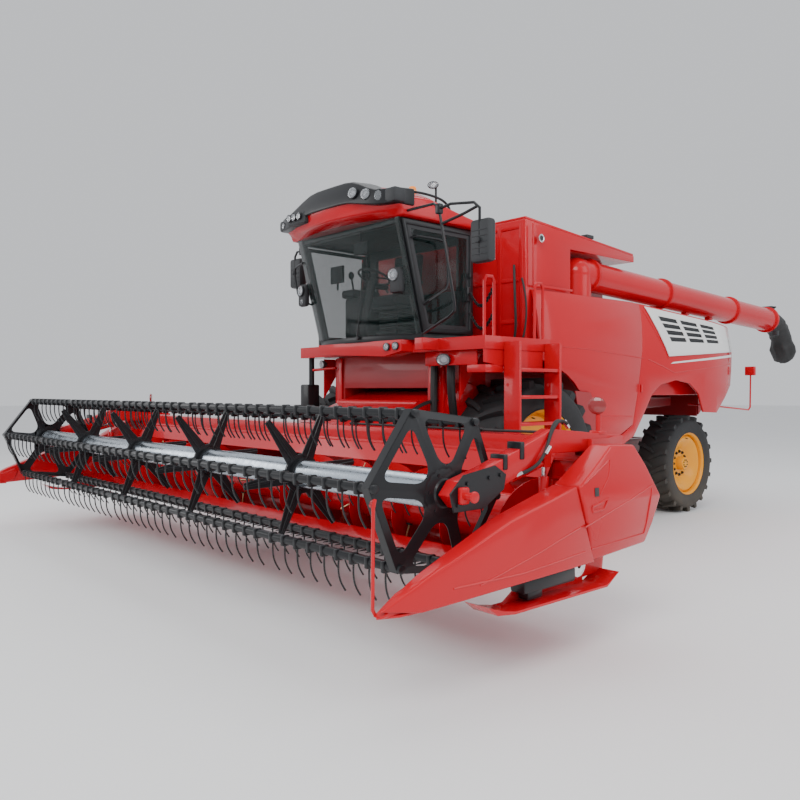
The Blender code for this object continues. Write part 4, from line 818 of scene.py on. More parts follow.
def grainTank():
    softened("grain_tank", redPaint, 0.010)
    softened("tank_cover", redPaint, 0.008)
    low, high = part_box("grain_tank")
    front, left = low.y, high.x
    ribs = [block((-1.36, front - 0.010, z), (1.36, front + 0.004, z + 0.05), 0.006)
            for z in (2.46, 2.92, 3.50)]
    ribs += [block((x - 0.025, front - 0.012, 2.32), (x + 0.025, front + 0.004, high.z - 0.04), 0.006)
             for x in (-1.33, 1.05, 1.36)]
    piece("tank_front_ribs", ribs, redPaint, "root")
    seams = [block((left - 0.004, front + 0.06, 2.86), (left + 0.006, -0.80, 2.885), 0.003),
             block((left - 0.004, front + 0.055, 2.86), (left + 0.006, front + 0.075, high.z - 0.05),
                   0.003)]
    seams.append(flipped(block((left - 0.004, front + 0.06, 2.90), (left + 0.006, 0.50, 2.93), 0.003)))
    piece("tank_side_ribs", seams, redPaint, "root")
    hole = Vector((left, front + 0.20, high.z - 0.20))
    collar = turned([(0.030, 0.0), (0.046, 0.0), (0.046, 0.010), (0.040, 0.014), (0.030, 0.010)], hole,
                    (1, 0, 0), 32)
    piece("tank_port_ring", [collar], brightSteel, "root")
    piece("tank_port", [rod(hole - Vector((0.004, 0, 0)), hole + Vector((0.005, 0, 0)), 0.031, 32)],
          blackPlastic, "root")
    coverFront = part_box("tank_cover")[0].y + 0.10
    strips = []
    for x in (-0.9, -0.3, 0.3, 0.9):
        strips.append(plate([(coverFront, 3.628), (-0.82, 3.572), (0.50, 3.485), (0.50, 3.497),
                             (-0.82, 3.584), (coverFront, 3.640)], "X", x - 0.03, x + 0.03, 0.003))
    piece("tank_cover_ribs", strips, redPaint, "tank_cover")
    catch = [block((1.30, -0.40, 3.545), (1.40, -0.26, 3.590), 0.008),
             block((-1.40, -0.40, 3.545), (-1.30, -0.26, 3.590), 0.008)]
    piece("tank_cover_catches", catch, blackPlastic, "tank_cover")


def unloadingTube():
    look = {"radius": 0.185, "flange": 0.212, "ends": (-0.45, 4.92), "heights": (3.13, 2.90), "x": 1.27,
            "seams": (-0.22, 1.50, 3.50, 4.90)}
    (y0, y1), (z0, z1) = look["ends"], look["heights"]

    def spot(y):
        return Vector((look["x"], y, z0 + (z1 - z0) * (y - y0) / (y1 - y0)))

    run = (spot(y1) - spot(y0)).normalized()
    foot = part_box("unloading_tube")[0].z
    shapes = [rod(spot(y0), spot(y1), look["radius"], 48), ball(spot(y0), look["radius"] + 0.004, sides=32),
              rod((look["x"], y0, foot), spot(y0), look["radius"], 48),
              rod((look["x"], y0, foot), (look["x"], y0, foot + 0.03), look["flange"], 48, soft=0.004)]
    for y in look["seams"]:
        middle = spot(y)
        for shift in (-0.012, 0.012):
            shapes.append(rod(middle + run * (shift - 0.009), middle + run * (shift + 0.009),
                              look["flange"], 48, soft=0.003))
        side = Vector((1, 0, 0))
        up = run.cross(side)
        ring = []
        for number in range(12):
            angle = 2 * math.pi * number / 12
            out = (side * math.cos(angle) + up * math.sin(angle)) * (look["radius"] + 0.014)
            ring.append(middle + run * 0.021 + out)
        shapes += bolts(ring, run, 0.009, 0.010)
    seam = [spot(y) + Vector((0, 0, look["radius"])) for y in (0.0, 1.4)]
    shapes.append(rod(seam[0], seam[1], 0.008, 8))
    for y in (2.2, 2.9):
        base = spot(y) - Vector((0, 0, look["radius"]))
        shapes.append(block(base + Vector((-0.04, -0.05, -0.03)), base + Vector((0.04, 0.05, 0.02)), 0.006))
    shapes.append(block((look["x"] - 0.20, -0.58, foot + 0.05), (look["x"] - 0.17, -0.30, foot + 0.17),
                        0.006))
    piece("unloading_tube_flanged", shapes, redPaint, "unloading_auger", ["unloading_tube"])
    end = spot(y1)
    hinge = [block(end + Vector((-0.10, -0.02, 0.17)), end + Vector((0.10, 0.10, 0.225)), 0.012),
             rod(end + Vector((-0.14, 0.03, 0.205)), end + Vector((0.14, 0.03, 0.205)), 0.014, 12)]
    workLamp = block(end + Vector((0.12, -0.06, -0.27)), end + Vector((0.20, 0.02, -0.19)), 0.01)
    piece("spout_clamp", hinge + [workLamp], blackPlastic, "unloading_auger")
    # folds of the rubber spout
    low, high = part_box("unloading_spout")
    shape = bmesh.new()
    shape.from_mesh(nodes["unloading_spout"].data)
    bmesh.ops.remove_doubles(shape, verts=shape.verts, dist=0.0002)
    bmesh.ops.subdivide_edges(shape, edges=shape.edges[:], cuts=3, use_grid_fill=True, smooth=0.6)
    shape.normal_update()
    for vert in shape.verts:
        along = (vert.co.y - low.y) - (vert.co.z - high.z)
        share = min(1.0, max(0.0, (along - 0.25) / 0.3))
        vert.co += vert.normal * (0.010 * share * math.sin(along * 36.0) - 0.008)
    piece("unloading_spout_folded", [shape], hoseRubber, "unloading_auger",
          ["unloading_spout"], 60.0)


grainTank()
unloadingTube()
print("tank and unloading tube made")


def headerTable():
    softened("header_back", redPaint, 0.006)
    softened("header_floor", redPaint, 0.002)
    softened("feeder_house", redPaint, 0.010)
    for word in ("left", "right"):
        softened(f"header_side_{word}", redPaint, 0.004)
    low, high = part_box("header_back")
    look = {"face": -3.735, "ribs": 11, "ribPitch": 0.68, "throat": 0.75}
    face = look["face"]
    shapes = [rod((low.x + 0.01, face, z), (high.x - 0.01, face, z), 0.016, 12) for z in (0.98, 1.10)]
    shapes += [block((low.x + 0.01, face - 0.02, 1.225), (high.x - 0.01, face + 0.006, 1.265), 0.006)]
    for x in [-3.4 + look["ribPitch"] * k for k in range(look["ribs"])]:
        if abs(x) > look["throat"]:
            shapes.append(block((x - 0.020, face - 0.012, 0.72), (x + 0.020, face + 0.004, 1.22), 0.005))
    stays = [block((x - 0.03, -3.715, 0.56), (x + 0.03, -3.62, 1.26), 0.006)
             for x in (-2.9, -1.9, -1.0, 1.0, 1.9, 2.9)]
    piece("back_sheet_ribs", shapes + stays, redPaint, "header")
    deflector = [plate([(face, 1.265), (face - 0.11, 1.10), (face - 0.113, 1.105), (face - 0.003, 1.275)],
                       "X", low.x + 0.3, high.x - 0.3)]
    piece("crop_deflector", deflector, redPaint, "header")


def knife():
    # sickle sections, pressed guards and hold-down clips along the cutting edge
    softened("knife_bar", blackPaint, 0.003)
    look = {"pitch": 0.0762, "reach": 3.66, "guard": 0.115}
    low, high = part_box("knife_bar")
    count = int(2 * look["reach"] / look["pitch"])
    guards, sections = [], []
    for number in range(count + 1):
        x = -look["reach"] + number * look["pitch"]
        start = Vector((x, low.y + 0.04, low.z + 0.022))
        tip = start + Vector((0, -look["guard"], -0.004))
        guards.append(rod(start, tip, 0.013, 6, 0.003))
        sections.append(plate([(x - 0.036, low.y + 0.03), (x + 0.036, low.y + 0.03),
                               (x + 0.009, low.y - 0.045), (x - 0.009, low.y - 0.045)], "Z", high.z + 0.001,
                              high.z + 0.005))
    clips = [block((x - 0.02, low.y + 0.005, high.z), (x + 0.02, low.y + 0.07, high.z + 0.018), 0.004)
             for x in [-3.5 + 0.5 * k for k in range(15)]]
    piece("knife_guards", guards, blackPaint, "header", smooth=50.0)
    piece("knife_sections", sections, brightSteel, "header")
    piece("knife_clips", clips, blackPaint, "header")


def screwAuger():
    look = {"tube": 0.17, "flight": 0.30, "pitch": 0.52, "half": 3.56, "gap": 0.70, "perTurn": 28,
            "thick": 0.010, "fingers": 34, "fingerReach": 0.292}
    low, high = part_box("header_auger")
    axis = ((low.y + high.y) / 2, (low.z + high.z) / 2)
    barrel = [rod((-look["half"], *axis), (look["half"], *axis), look["tube"], 40, soft=0.006)]
    for start in (look["half"] - 0.02, -look["half"] + 0.02):
        turns = (look["half"] - 0.02 - look["gap"]) / look["pitch"]
        steps = int(turns * look["perTurn"])
        way = -1 if start > 0 else 1
        flight = bmesh.new()
        section = [(-0.5, look["tube"] - 0.01), (0.5, look["tube"] - 0.01), (0.35, look["flight"]),
                   (-0.35, look["flight"])]
        corners = [(start + along * look["thick"], 0, radius) for along, radius in section]
        face = flight.faces.new([flight.verts.new(corner) for corner in corners])
        bmesh.ops.spin(flight, geom=[face], cent=(0, 0, 0), axis=(1, 0, 0), angle=turns * 2 * math.pi,
                       dvec=(way * turns * look["pitch"] / steps, 0, 0), steps=steps, use_duplicate=False)
        bmesh.ops.remove_doubles(flight, verts=flight.verts, dist=0.00001)
        bmesh.ops.translate(flight, vec=(0, *axis), verts=flight.verts)
        barrel.append(flight)
    piece("header_auger_flighted", barrel, redPaint, "header_auger", ["header_auger"], 50.0)
    fingers, sockets = [], []
    for number in range(look["fingers"]):
        x = -3.3 + 6.6 * number / (look["fingers"] - 1)
        angle = number * 2.4
        way = Vector((0, math.cos(angle), math.sin(angle)))
        base = Vector((x, *axis)) + way * look["tube"]
        fingers.append(rod(base - way * 0.01, Vector((x, *axis)) + way * look["fingerReach"], 0.008, 10,
                           soft=0.002))
        sockets.append(rod(base - way * 0.004, base + way * 0.010, 0.026, 14))
    piece("auger_fingers", fingers, brassRod, "header_auger")
    piece("auger_finger_guides", sockets, blackPlastic, "header_auger")


def feederDetails():
    # cross ribs on the top sheet, chain guards and hoses of the feeder house
    look = {"neck": -2.19, "lowSheet": 1.150, "highSheet": 1.705, "shaftEnd": 3.70, "hoses": 3,
            "hosePitch": 0.035}
    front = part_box("feeder_house")[0].y

    def sheetHeight(y):
        rise = look["highSheet"] - look["lowSheet"]
        return look["lowSheet"] + (y - front) * rise / (look["neck"] - front)

    ribs = []
    for y in (front + 0.12, front + 0.48, front + 0.84, front + 1.20):
        z = sheetHeight(y)
        ribs.append(plate([(y - 0.03, z - 0.03), (y - 0.03, z + 0.004), (y - 0.018, z + 0.020),
                           (y + 0.018, z + 0.036), (y + 0.03, z + 0.028), (y + 0.03, z - 0.01)], "X",
                          -0.698, 0.698, 0.004))
    lid = plate([(front + 0.54, sheetHeight(front + 0.54) - 0.01),
                 (front + 0.54, sheetHeight(front + 0.54) + 0.016),
                 (front + 0.78, sheetHeight(front + 0.78) + 0.016),
                 (front + 0.78, sheetHeight(front + 0.78) - 0.01)], "X", -0.30, 0.30, 0.005)
    piece("feeder_top_ribs", ribs + [lid], redPaint, "header")
    guards = []
    for side in (1, -1):
        guard = plate([(front + 0.06, 0.78), (front + 0.06, 1.06), (front + 0.34, 1.20), (-2.40, 1.52),
                       (-2.18, 1.46), (-2.20, 1.26), (-2.50, 1.10), (front + 0.36, 0.80)], "X", 0.700,
                      0.738, 0.012)
        hub = turned([(0.001, 0.0), (0.09, 0.0), (0.09, 0.012), (0.05, 0.026), (0.001, 0.026)],
                     (0.728, -2.28, 1.38), (1, 0, 0), 28)
        guards += [onSide(side, guard), onSide(side, hub)]
    piece("feeder_chain_guards", guards, redPaint, "header")
    lock = [onSide(side, block((0.70, front + 0.02, 0.62), (0.78, front + 0.16, 0.74), 0.01))
            for side in (1, -1)]
    piece("feeder_locks", lock, blackPaint, "header")
    drive = [onSide(side, rod((0.70, front + 0.40, 0.72), (1.40, front + 0.26, 0.80), 0.030, 14))
             for side in (1, -1)]
    cross = [onSide(side, rod((1.40, front + 0.26, 0.80), (look["shaftEnd"], front + 0.26, 0.80), 0.022,
                              14)) for side in (1, -1)]
    piece("header_drive_shafts", drive + cross, blackPaint, "header")
    lines = []
    for step in range(look["hoses"]):
        x = 0.80 + look["hosePitch"] * step
        lines.append(hose([(x, -2.34, 1.62), (x + 0.02, -2.62, 1.60), (x + 0.03, -2.95, 1.36 + 0.02 * step),
                           (x, -3.25, 1.16), (x - 0.02, -3.48, 1.30), (x + 0.10, -3.60, 1.36)], 0.012, 8))
    lines.append(hose([(0.90, -3.60, 1.405), (1.6, -3.62, 1.405), (2.6, -3.60, 1.405), (3.3, -3.60, 1.41),
                       (3.55, -3.56, 1.42)], 0.011, 8))
    piece("header_hoses", lines, hoseRubber, "header")
    clamps = [block((x - 0.012, -3.63, 1.392), (x + 0.012, -3.58, 1.424), 0.003)
              for x in (1.0, 1.8, 2.6, 3.3)]
    piece("hose_clamps", clamps, blackPaint, "header")


def dividers():
    look = {"x": 3.80, "shoeHalf": 0.035, "wand": 0.010}
    for side, word in ((1, "left"), (-1, "right")):
        softened(f"divider_{word}", redPaint, 0.012, 3, 30.0)
        softened(f"divider_cover_{word}", redPaint, 0.016, 3, 30.0)
        x = look["x"]
        shoe = plate([(-5.715, 0.565), (-5.56, 0.66), (-5.34, 0.735), (-5.30, 0.70), (-5.34, 0.60),
                      (-5.44, 0.565)], "X", x - look["shoeHalf"], x + look["shoeHalf"], 0.006)
        sole = plate([(x - 0.060, -5.44), (x - 0.05, -5.60), (x, -5.718), (x + 0.05, -5.60),
                      (x + 0.060, -5.44)], "Z", 0.556, 0.570, 0.003)
        wand = hose([(x - 0.03, -5.70, 0.575), (x - 0.03, -5.715, 0.60), (x - 0.03, -5.71, 1.12),
                     (x - 0.03, -5.70, 1.16), (x - 0.10, -5.66, 1.14), (x - 0.16, -5.62, 1.11)],
                    look["wand"], 8, False)
        sidePiece(f"divider_shoe_{word}", side, (shoe, sole, wand), redPaint, "header")
        node = f"divider_{word}"
        body = bodyOfNode[node]
        line = bead(side, [(-5.05, 0.64), (-4.62, 0.74), (-4.16, 0.86)], node, 0.006, -0.002)
        ridge = bead(side, [(-5.25, 0.655), (-4.70, 0.655), (-4.10, 0.70)], node, 0.007, -0.002)
        piece(f"divider_creases_{word}", [line, ridge], redPaint, body)
        cover = f"divider_cover_{word}"
        creases = [bead(side, [(-4.12, 0.86), (-3.60, 0.99), (-3.34, 1.06)], cover, 0.006, -0.002),
                   bead(side, [(-4.02, 0.705), (-3.40, 0.73), (-3.34, 1.04)], cover, 0.007, -0.002),
                   bead(side, [(-4.14, 1.13), (-3.82, 1.27), (-3.86, 1.16), (-3.98, 1.04)], cover, 0.006,
                        -0.002)]
        piece(f"cover_creases_{word}", creases, redPaint, bodyOfNode[cover])
        handle = bead(side, [(-4.06, 0.985), (-4.05, 0.950), (-3.93, 0.955), (-3.88, 1.02), (-3.97, 1.00),
                             (-4.06, 0.985)], cover, 0.009, 0.0)
        piece(f"cover_handle_{word}", [handle], redPaint, bodyOfNode[cover])
        slot = draped(block((0.0, -4.03, 1.045), (0.004, -3.985, 1.10), 0.001), cover, side, 0.001)
        piece(f"cover_keyhole_{word}", [slot], blackPlastic, bodyOfNode[cover])
        sheave = turned([(0.02, 0.0), (0.075, 0.0), (0.075, 0.008), (0.055, 0.020), (0.075, 0.032),
                         (0.075, 0.040), (0.02, 0.045)], (3.770, -3.99, 0.575), (1, 0, 0), 36)
        piece(f"drive_pulley_{word}", [onSide(side, sheave)], brightSteel, "header")
        box = [block((3.752, -4.62, 0.50), (3.87, -4.10, 0.60), 0.02),
               block((3.754, -4.55, 0.445), (3.84, -4.40, 0.52), 0.02)]
        sidePiece(f"knife_gearbox_{word}", side, box, blackPaint, "header")


def cylinders():
    for word in ("left", "right"):
        for name, finish, slot in ((f"lift_barrel_{word}", blackPaint, "black"),
                                   (f"reel_lift_barrel_{word}", redPaint, "red")):
            softened(name, finish, 0.003, 2, 40.0)
        for name in (f"lift_rod_{word}", f"reel_lift_rod_{word}"):
            softened(name, brightSteel, 0.002, 2, 40.0)


headerTable()
knife()
screwAuger()
feederDetails()
dividers()
cylinders()
print("header made")


reelLook = {"y": -5.0, "z": 1.115, "radius": 0.515, "bats": 6, "phase": -7.0, "end": 3.51, "tube": 0.10,
            "batRadius": 0.026, "tinePitch": 0.15, "tineLength": 0.238, "spiders": 6, "hubOut": 3.565,
            "web": 0.044, "arch": 0.07, "sheet": 0.005}


def batSpot(look, index, radius=None, shift=0.0):
    angle = math.radians(look["phase"]) + (index + shift) * 2 * math.pi / look["bats"]
    reach = look["radius"] if radius is None else radius
    return look["y"] + reach * math.cos(angle), look["z"] + reach * math.sin(angle)


def spiderSpots(look):
    return [-look["end"] + 2 * look["end"] * k / (look["spiders"] - 1) for k in range(look["spiders"])]


def bats(look):
    # each bat: a tube, a tine clamp at every pitch, and long spring tines that hang
    spots = spiderSpots(look)
    tine = hose([(0, 0.004, 0), (0, -0.004, -0.04), (0, -0.006, -0.10), (0, 0.006, -0.17),
                 (0, 0.034, -0.215), (0, 0.052, -look["tineLength"])], 0.0062, 6, steps=2)
    clamp = block((-0.016, -0.034, -0.040), (0.016, 0.030, 0.034), 0.010)
    for index in range(look["bats"]):
        y, z = batSpot(look, index)
        tube = [rod((-3.55, y, z), (3.55, y, z), look["batRadius"], 20, soft=0.003)]
        angle = plate([(y - 0.012, z + 0.020), (y + 0.030, z + 0.024), (y + 0.034, z - 0.028),
                       (y + 0.028, z - 0.028), (y + 0.024, z + 0.016), (y - 0.012, z + 0.014)], "X", -3.49,
                      3.49)
        tines = []
        for first, last in zip(spots, spots[1:]):
            count = int((last - first - 0.08) / look["tinePitch"]) + 1
            start = (first + last) / 2 - (count - 1) * look["tinePitch"] / 2
            for number in range(count):
                place = Matrix.Translation((start + number * look["tinePitch"], y, z))
                tines.append(copied(tine, place))
                tube.append(copied(clamp, place))
        body = f"reel_bat_{index + 1}"
        piece(f"bat_tube_{index + 1}", tube + [angle], blackPaint, body, [f"reel_bat_{index + 1}"],
              40.0)
        piece(f"bat_tines_{index + 1}", tines, blackPaint, body, smooth=60.0)
    tine.free()
    clamp.free()


def spiderArm(look, index, x):
    # a tapered plate with a folded edge, from the hub to a bat
    inner, outer = 0.10, look["radius"] - 0.028
    shapes = []
    for thickness, wide, narrow in ((0.010, 0.060, 0.024), (0.026, 0.012, 0.008)):
        arm = bmesh.new()
        bmesh.ops.create_cube(arm, size=1.0)
        longEdges = [e for e in arm.edges if abs(e.verts[0].co.z - e.verts[1].co.z) > 0.5]
        bmesh.ops.subdivide_edges(arm, edges=longEdges, cuts=1)
        for vert in arm.verts:
            share = vert.co.z + 0.5
            width = wide + (narrow - wide) * share
            vert.co = (vert.co.x * thickness, vert.co.y * 2 * width, inner + (outer - inner) * share)
        eased(arm, 0.003, 1)
        angle = math.radians(look["phase"]) + index * 2 * math.pi / look["bats"]
        swing = Matrix.Rotation(math.pi / 2 - angle, 4, "X")
        arm.transform(Matrix.Translation((x, look["y"], look["z"])) @ swing)
        shapes.append(arm)
    return shapes


def endPlate(look, side):
    # a dished six-sided plate, with an arched window in each sector
    shapes = []
    hubX, batX = look["hubOut"], look["end"] + 0.012
    for index in range(look["bats"]):
        y1, z1 = batSpot(look, index, look["radius"] + 0.030)
        y2, z2 = batSpot(look, index, look["radius"] + 0.030, 1.0)
        ring = []
        for share in (0.0, 0.5, 1.0):
            ring.append(batSpot(look, index, 0.13, share))
        shape = bmesh.new()
        outline = [(y1, z1), (y2, z2)] + ring[::-1]
        face = shape.faces.new([shape.verts.new((0, y, z)) for y, z in outline])
        shape.normal_update()
        bmesh.ops.inset_region(shape, faces=[face], thickness=look["web"], use_even_offset=True,
                               use_boundary=True)
        corners = face.verts[:]
        bmesh.ops.delete(shape, geom=[face], context="FACES_ONLY")
        bmesh.ops.bevel(shape, geom=corners, offset=look["arch"], offset_type="OFFSET", affect="VERTICES",
                        segments=6, profile=0.5, material=-1)
        for vert in shape.verts:
            reach = math.hypot(vert.co.y - look["y"], vert.co.z - look["z"])
            share = min(1.0, max(0.0, (reach - 0.16) / (look["radius"] - 0.16)))
            vert.co.x = hubX + (batX - hubX) * share
        shapes.append(thickened(shape, (look["sheet"], 0, 0)))
        # the rim between two bats, folded inwards
        fold = [(y + (look["y"] - y) * 0.012, z + (look["z"] - z) * 0.012) for y, z in ((y2, z2), (y1, z1))]
        shapes.append(plate([(y1, z1), (y2, z2)] + fold, "X", look["end"] - 0.050, batX + 0.005, 0.001))
    hub = turned([(0.037, 0.0), (0.150, 0.0), (0.150, 0.008), (0.090, 0.016), (0.080, 0.026),
                  (0.037, 0.026)], (look["hubOut"] - 0.004, look["y"], look["z"]), (1, 0, 0), 36)
    shapes.append(hub)
    ring = [(look["hubOut"] + 0.004, *batSpot(look, k, 0.118)) for k in range(6)]
    shapes += bolts(ring, (1, 0, 0), 0.010, 0.008)
    return [onSide(side, s) for s in shapes]


def rotor(look):
    centre = (look["y"], look["z"])
    tube = [rod((-look["end"] + 0.02, *centre), (look["end"] - 0.02, *centre), look["tube"], 48,
                soft=0.003), rod((-3.60, *centre), (3.60, *centre), 0.034, 24)]
    piece("reel_tube", tube, zincTube, "reel", ["reel_rotor"])
    black = []
    for x in spiderSpots(look)[1:-1]:
        black.append(turned([(look["tube"] - 0.001, -0.05), (look["tube"] + 0.012, -0.05),
                             (look["tube"] + 0.012, -0.012), (look["tube"] + 0.045, -0.010),
                             (look["tube"] + 0.045, 0.010), (look["tube"] + 0.012, 0.012),
                             (look["tube"] + 0.012, 0.05), (look["tube"] - 0.001, 0.05)], (x, *centre),
                            (1, 0, 0), 36))
        ring = [(x + 0.010, *batSpot(look, k, look["tube"] + 0.028, 0.5)) for k in range(6)]
        black += bolts(ring, (1, 0, 0), 0.008, 0.008)
        for index in range(look["bats"]):
            black += spiderArm(look, index, x)
    piece("reel_spiders", black, blackPaint, "reel")
    piece("reel_end_plate_left", endPlate(look, 1), blackPaint, "reel", smooth=20.0)
    piece("reel_end_plate_right", endPlate(look, -1), blackPaint, "reel", smooth=20.0)


def reelArms(look):
    for side, word in ((1, "left"), (-1, "right")):
        softened(f"reel_arm_{word}", redPaint, 0.010, 3)
        inner = 3.60
        # black carrier plate over the reel shaft, with its red bearing block
        carrier = plate([(-4.60, 1.21), (-4.70, 1.27), (-4.98, 1.23), (-5.09, 1.13), (-5.06, 1.02),
                         (-4.80, 1.02), (-4.62, 1.12)], "X", inner + 0.100, inner + 0.112, 0.003)
        spots = ((-4.66, 1.21), (-4.76, 1.20), (-4.86, 1.08), (-4.95, 1.18), (-5.03, 1.06))
        nuts = bolts([(inner + 0.112, y, z) for y, z in spots], (1, 0, 0), 0.012, 0.010)
        sidePiece(f"reel_carrier_{word}", side, [carrier] + nuts, blackPaint, "reel_arms")
        bearing = block((inner + 0.112, look["y"] - 0.035, look["z"] - 0.050),
                        (inner + 0.150, look["y"] + 0.035, look["z"] + 0.050), 0.012)
        knob = rod((inner + 0.14, look["y"], look["z"]), (inner + 0.215, look["y"], look["z"]), 0.024, 20,
                   soft=0.006)
        cap = rod((inner + 0.205, look["y"], look["z"]), (inner + 0.225, look["y"], look["z"]), 0.034, 20,
                  soft=0.006)
        sidePiece(f"reel_bearing_{word}", side, (bearing, knob, cap), redPaint, "reel_arms")
        # fore and aft ram beneath the arm
        x = inner + 0.05
        barrel = [rod((x, -4.16, 1.250), (x, -4.50, 1.165), 0.026, 20, soft=0.004),
                  rod((x - 0.03, -4.15, 1.252), (x + 0.03, -4.15, 1.252), 0.022, 16)]
        sidePiece(f"reel_shift_barrel_{word}", side, barrel, redPaint, "reel_arms")
        piston = [rod((x, -4.50, 1.165), (x, -4.78, 1.095), 0.012, 16),
                  rod((x - 0.024, -4.79, 1.093), (x + 0.024, -4.79, 1.093), 0.018, 16)]
        sidePiece(f"reel_shift_rod_{word}", side, piston, brightSteel, "reel_arms")
        lines = [hose([(x + 0.03 + 0.028 * k, -3.98, 1.50), (x + 0.035 + 0.028 * k, -4.06, 1.55),
                       (x + 0.055, -4.16, 1.46), (x + 0.085, -4.24, 1.30), (x + 0.075, -4.36, 1.215),
                       (x + 0.03, -4.48, 1.195 - 0.01 * k)], 0.011, 8) for k in range(2)]
        sidePiece(f"reel_arm_hoses_{word}", side, lines, hoseRubber, "reel_arms")
        fittings = [rod((x + 0.05, -4.44, 1.205), (x + 0.03, -4.50, 1.180), 0.015, 12),
                    rod((x + 0.045, -3.95, 1.475), (x + 0.045, -3.99, 1.515), 0.016, 12),
                    rod((x + 0.085, -4.20, 1.36), (x + 0.085, -4.245, 1.315), 0.014, 12)]
        sidePiece(f"hose_fittings_{word}", side, fittings, brightSteel, "reel_arms")
        straps = [block((x - 0.055, -4.46, 1.29), (x + 0.058, -4.42, 1.40), 0.006),
                  block((x - 0.055, -4.62, 1.235), (x + 0.058, -4.58, 1.33), 0.006)]
        sidePiece(f"reel_arm_straps_{word}", side, straps, blackPaint, "reel_arms")
        # reflector on a post at the arm's rear
        post = [rod((x + 0.02, -3.56, 1.40), (x + 0.02, -3.56, 1.56), 0.018, 14),
                block((x - 0.03, -3.60, 1.40), (x + 0.05, -3.50, 1.44), 0.008)]
        sidePiece(f"reflector_post_{word}", side, post, redPaint, "header")
        # the red lens finish glows faintly: painted glow on this reflector, which is no lamp
        disc = turned([(0.001, -0.014), (0.055, -0.014), (0.062, -0.006), (0.062, 0.008), (0.050, 0.016),
                       (0.001, 0.018)], (x + 0.02, -3.575, 1.615), (0.5, -0.85, 0), 32)
        piece(f"reflector_{word}", [onSide(side, disc)], lensRed, "header")


bats(reelLook)
rotor(reelLook)
reelArms(reelLook)
print("reel made")


def platform():
    softened("platform", redPaint, 0.010, 3)
    look = {"bars": 15, "pitch": 0.06, "bottle": (1.82, -1.57), "bottleRadius": 0.058}
    tread = []
    for bar in range(look["bars"]):
        y = -2.58 + look["pitch"] * bar
        tread.append(block((0.93, y, 2.2585), (1.70, y + 0.03, 2.264), 0.001))
    piece("platform_tread", tread, blackPaint, "root")
    lamp([("platform_lamp_left", (1.18, -2.60, 2.04), (0.25, -1, -0.1), 0.055, 1.35),
          ("platform_lamp_right", (-0.86, -2.64, 2.04), (-0.2, -1, -0.1), 0.045, 1.2),
          ("cowl_lamp_outer", (0.66, -2.800, 2.195), (0.15, -1, 0), 0.038, 1.0),
          ("cowl_lamp_inner", (0.52, -2.803, 2.190), (0.10, -1, 0), 0.038, 1.0)], "root")
    skirt = [block((0.86, -2.56, 1.98), (1.60, -2.54, 2.13), 0.006),
             block((1.50, -2.60, 1.90), (1.75, -2.30, 1.98), 0.01)]
    skirt.append(plate([(-2.62, 2.13), (-2.62, 2.00), (-2.20, 1.94), (-1.70, 1.94), (-1.70, 2.13)], "X",
                       1.735, 1.750, 0.003))
    piece("platform_skirt", skirt, redPaint, "root")
    stack = [rod((-1.29, -2.50, 1.79), (-1.29, -2.50, 2.14), 0.035, 16),
             block((-1.46, -2.56, 1.20), (-1.28, -2.38, 1.80), 0.02)]
    piece("right_column", stack, blackPaint, "root")
    arm = [rod((-1.29, -2.50, 1.98), (-0.86, -2.44, 2.00), 0.018, 12)]
    piece("right_stay", arm, redPaint, "root")
    x, y = look["bottle"]
    bottle = [rod((x, y, 1.48), (x, y, 1.90), look["bottleRadius"], 28, soft=0.028),
              rod((x, y, 1.90), (x, y, 1.94), 0.024, 16)]
    piece("fire_bottle", bottle, redPaint, "root")
    cap = [block((1.79, -1.62, 1.93), (1.85, -1.54, 1.965), 0.008),
           block((1.722, -1.60, 1.60), (1.762, -1.56, 2.135), 0.004)]
    piece("fire_bottle_valve", cap, blackPlastic, "root")


def lamp(rows, body):
    # round work lamps: a cup, a bright bowl and a ribbed lens, each facing its own way
    for name, centre, way, radius, wide in rows:
        way, centre = Vector(way).normalized(), Vector(centre)
        cup = turned([(0.001, -0.050), (radius * 0.55, -0.048), (radius * 0.95, -0.020),
                      (radius * 1.12, 0.004), (radius * 1.12, 0.016), (radius, 0.018),
                      (radius * 0.98, 0.004), (0.001, 0.002)], (0, 0, 0), (0, 0, 1), 32)
        bowl = turned([(0.001, 0.003), (radius * 0.90, 0.003), (radius * 0.97, 0.012),
                       (radius * 0.5, -0.016), (radius * 0.22, -0.020), (radius * 0.20, 0.002),
                       (0.001, 0.004)], (0, 0, 0), (0, 0, 1), 32)
        lens = turned([(0.001, 0.013), (radius * 0.97, 0.010), (radius * 0.98, 0.016),
                       (radius * 0.6, 0.022), (0.001, 0.024)], (0, 0, 0), (0, 0, 1), 32)
        turn = Matrix.Translation(centre) @ way.to_track_quat("Z", "Y").to_matrix().to_4x4()
        for word, shape, finish in (("cup", cup, blackPlastic), ("bowl", bowl, brightSteel),
                                    ("lens", lens, lensClear)):
            bmesh.ops.scale(shape, vec=(wide, 1, 1), verts=shape.verts)
            shape.transform(turn)
            piece(f"{name}_{word}", [shape], finish, body)


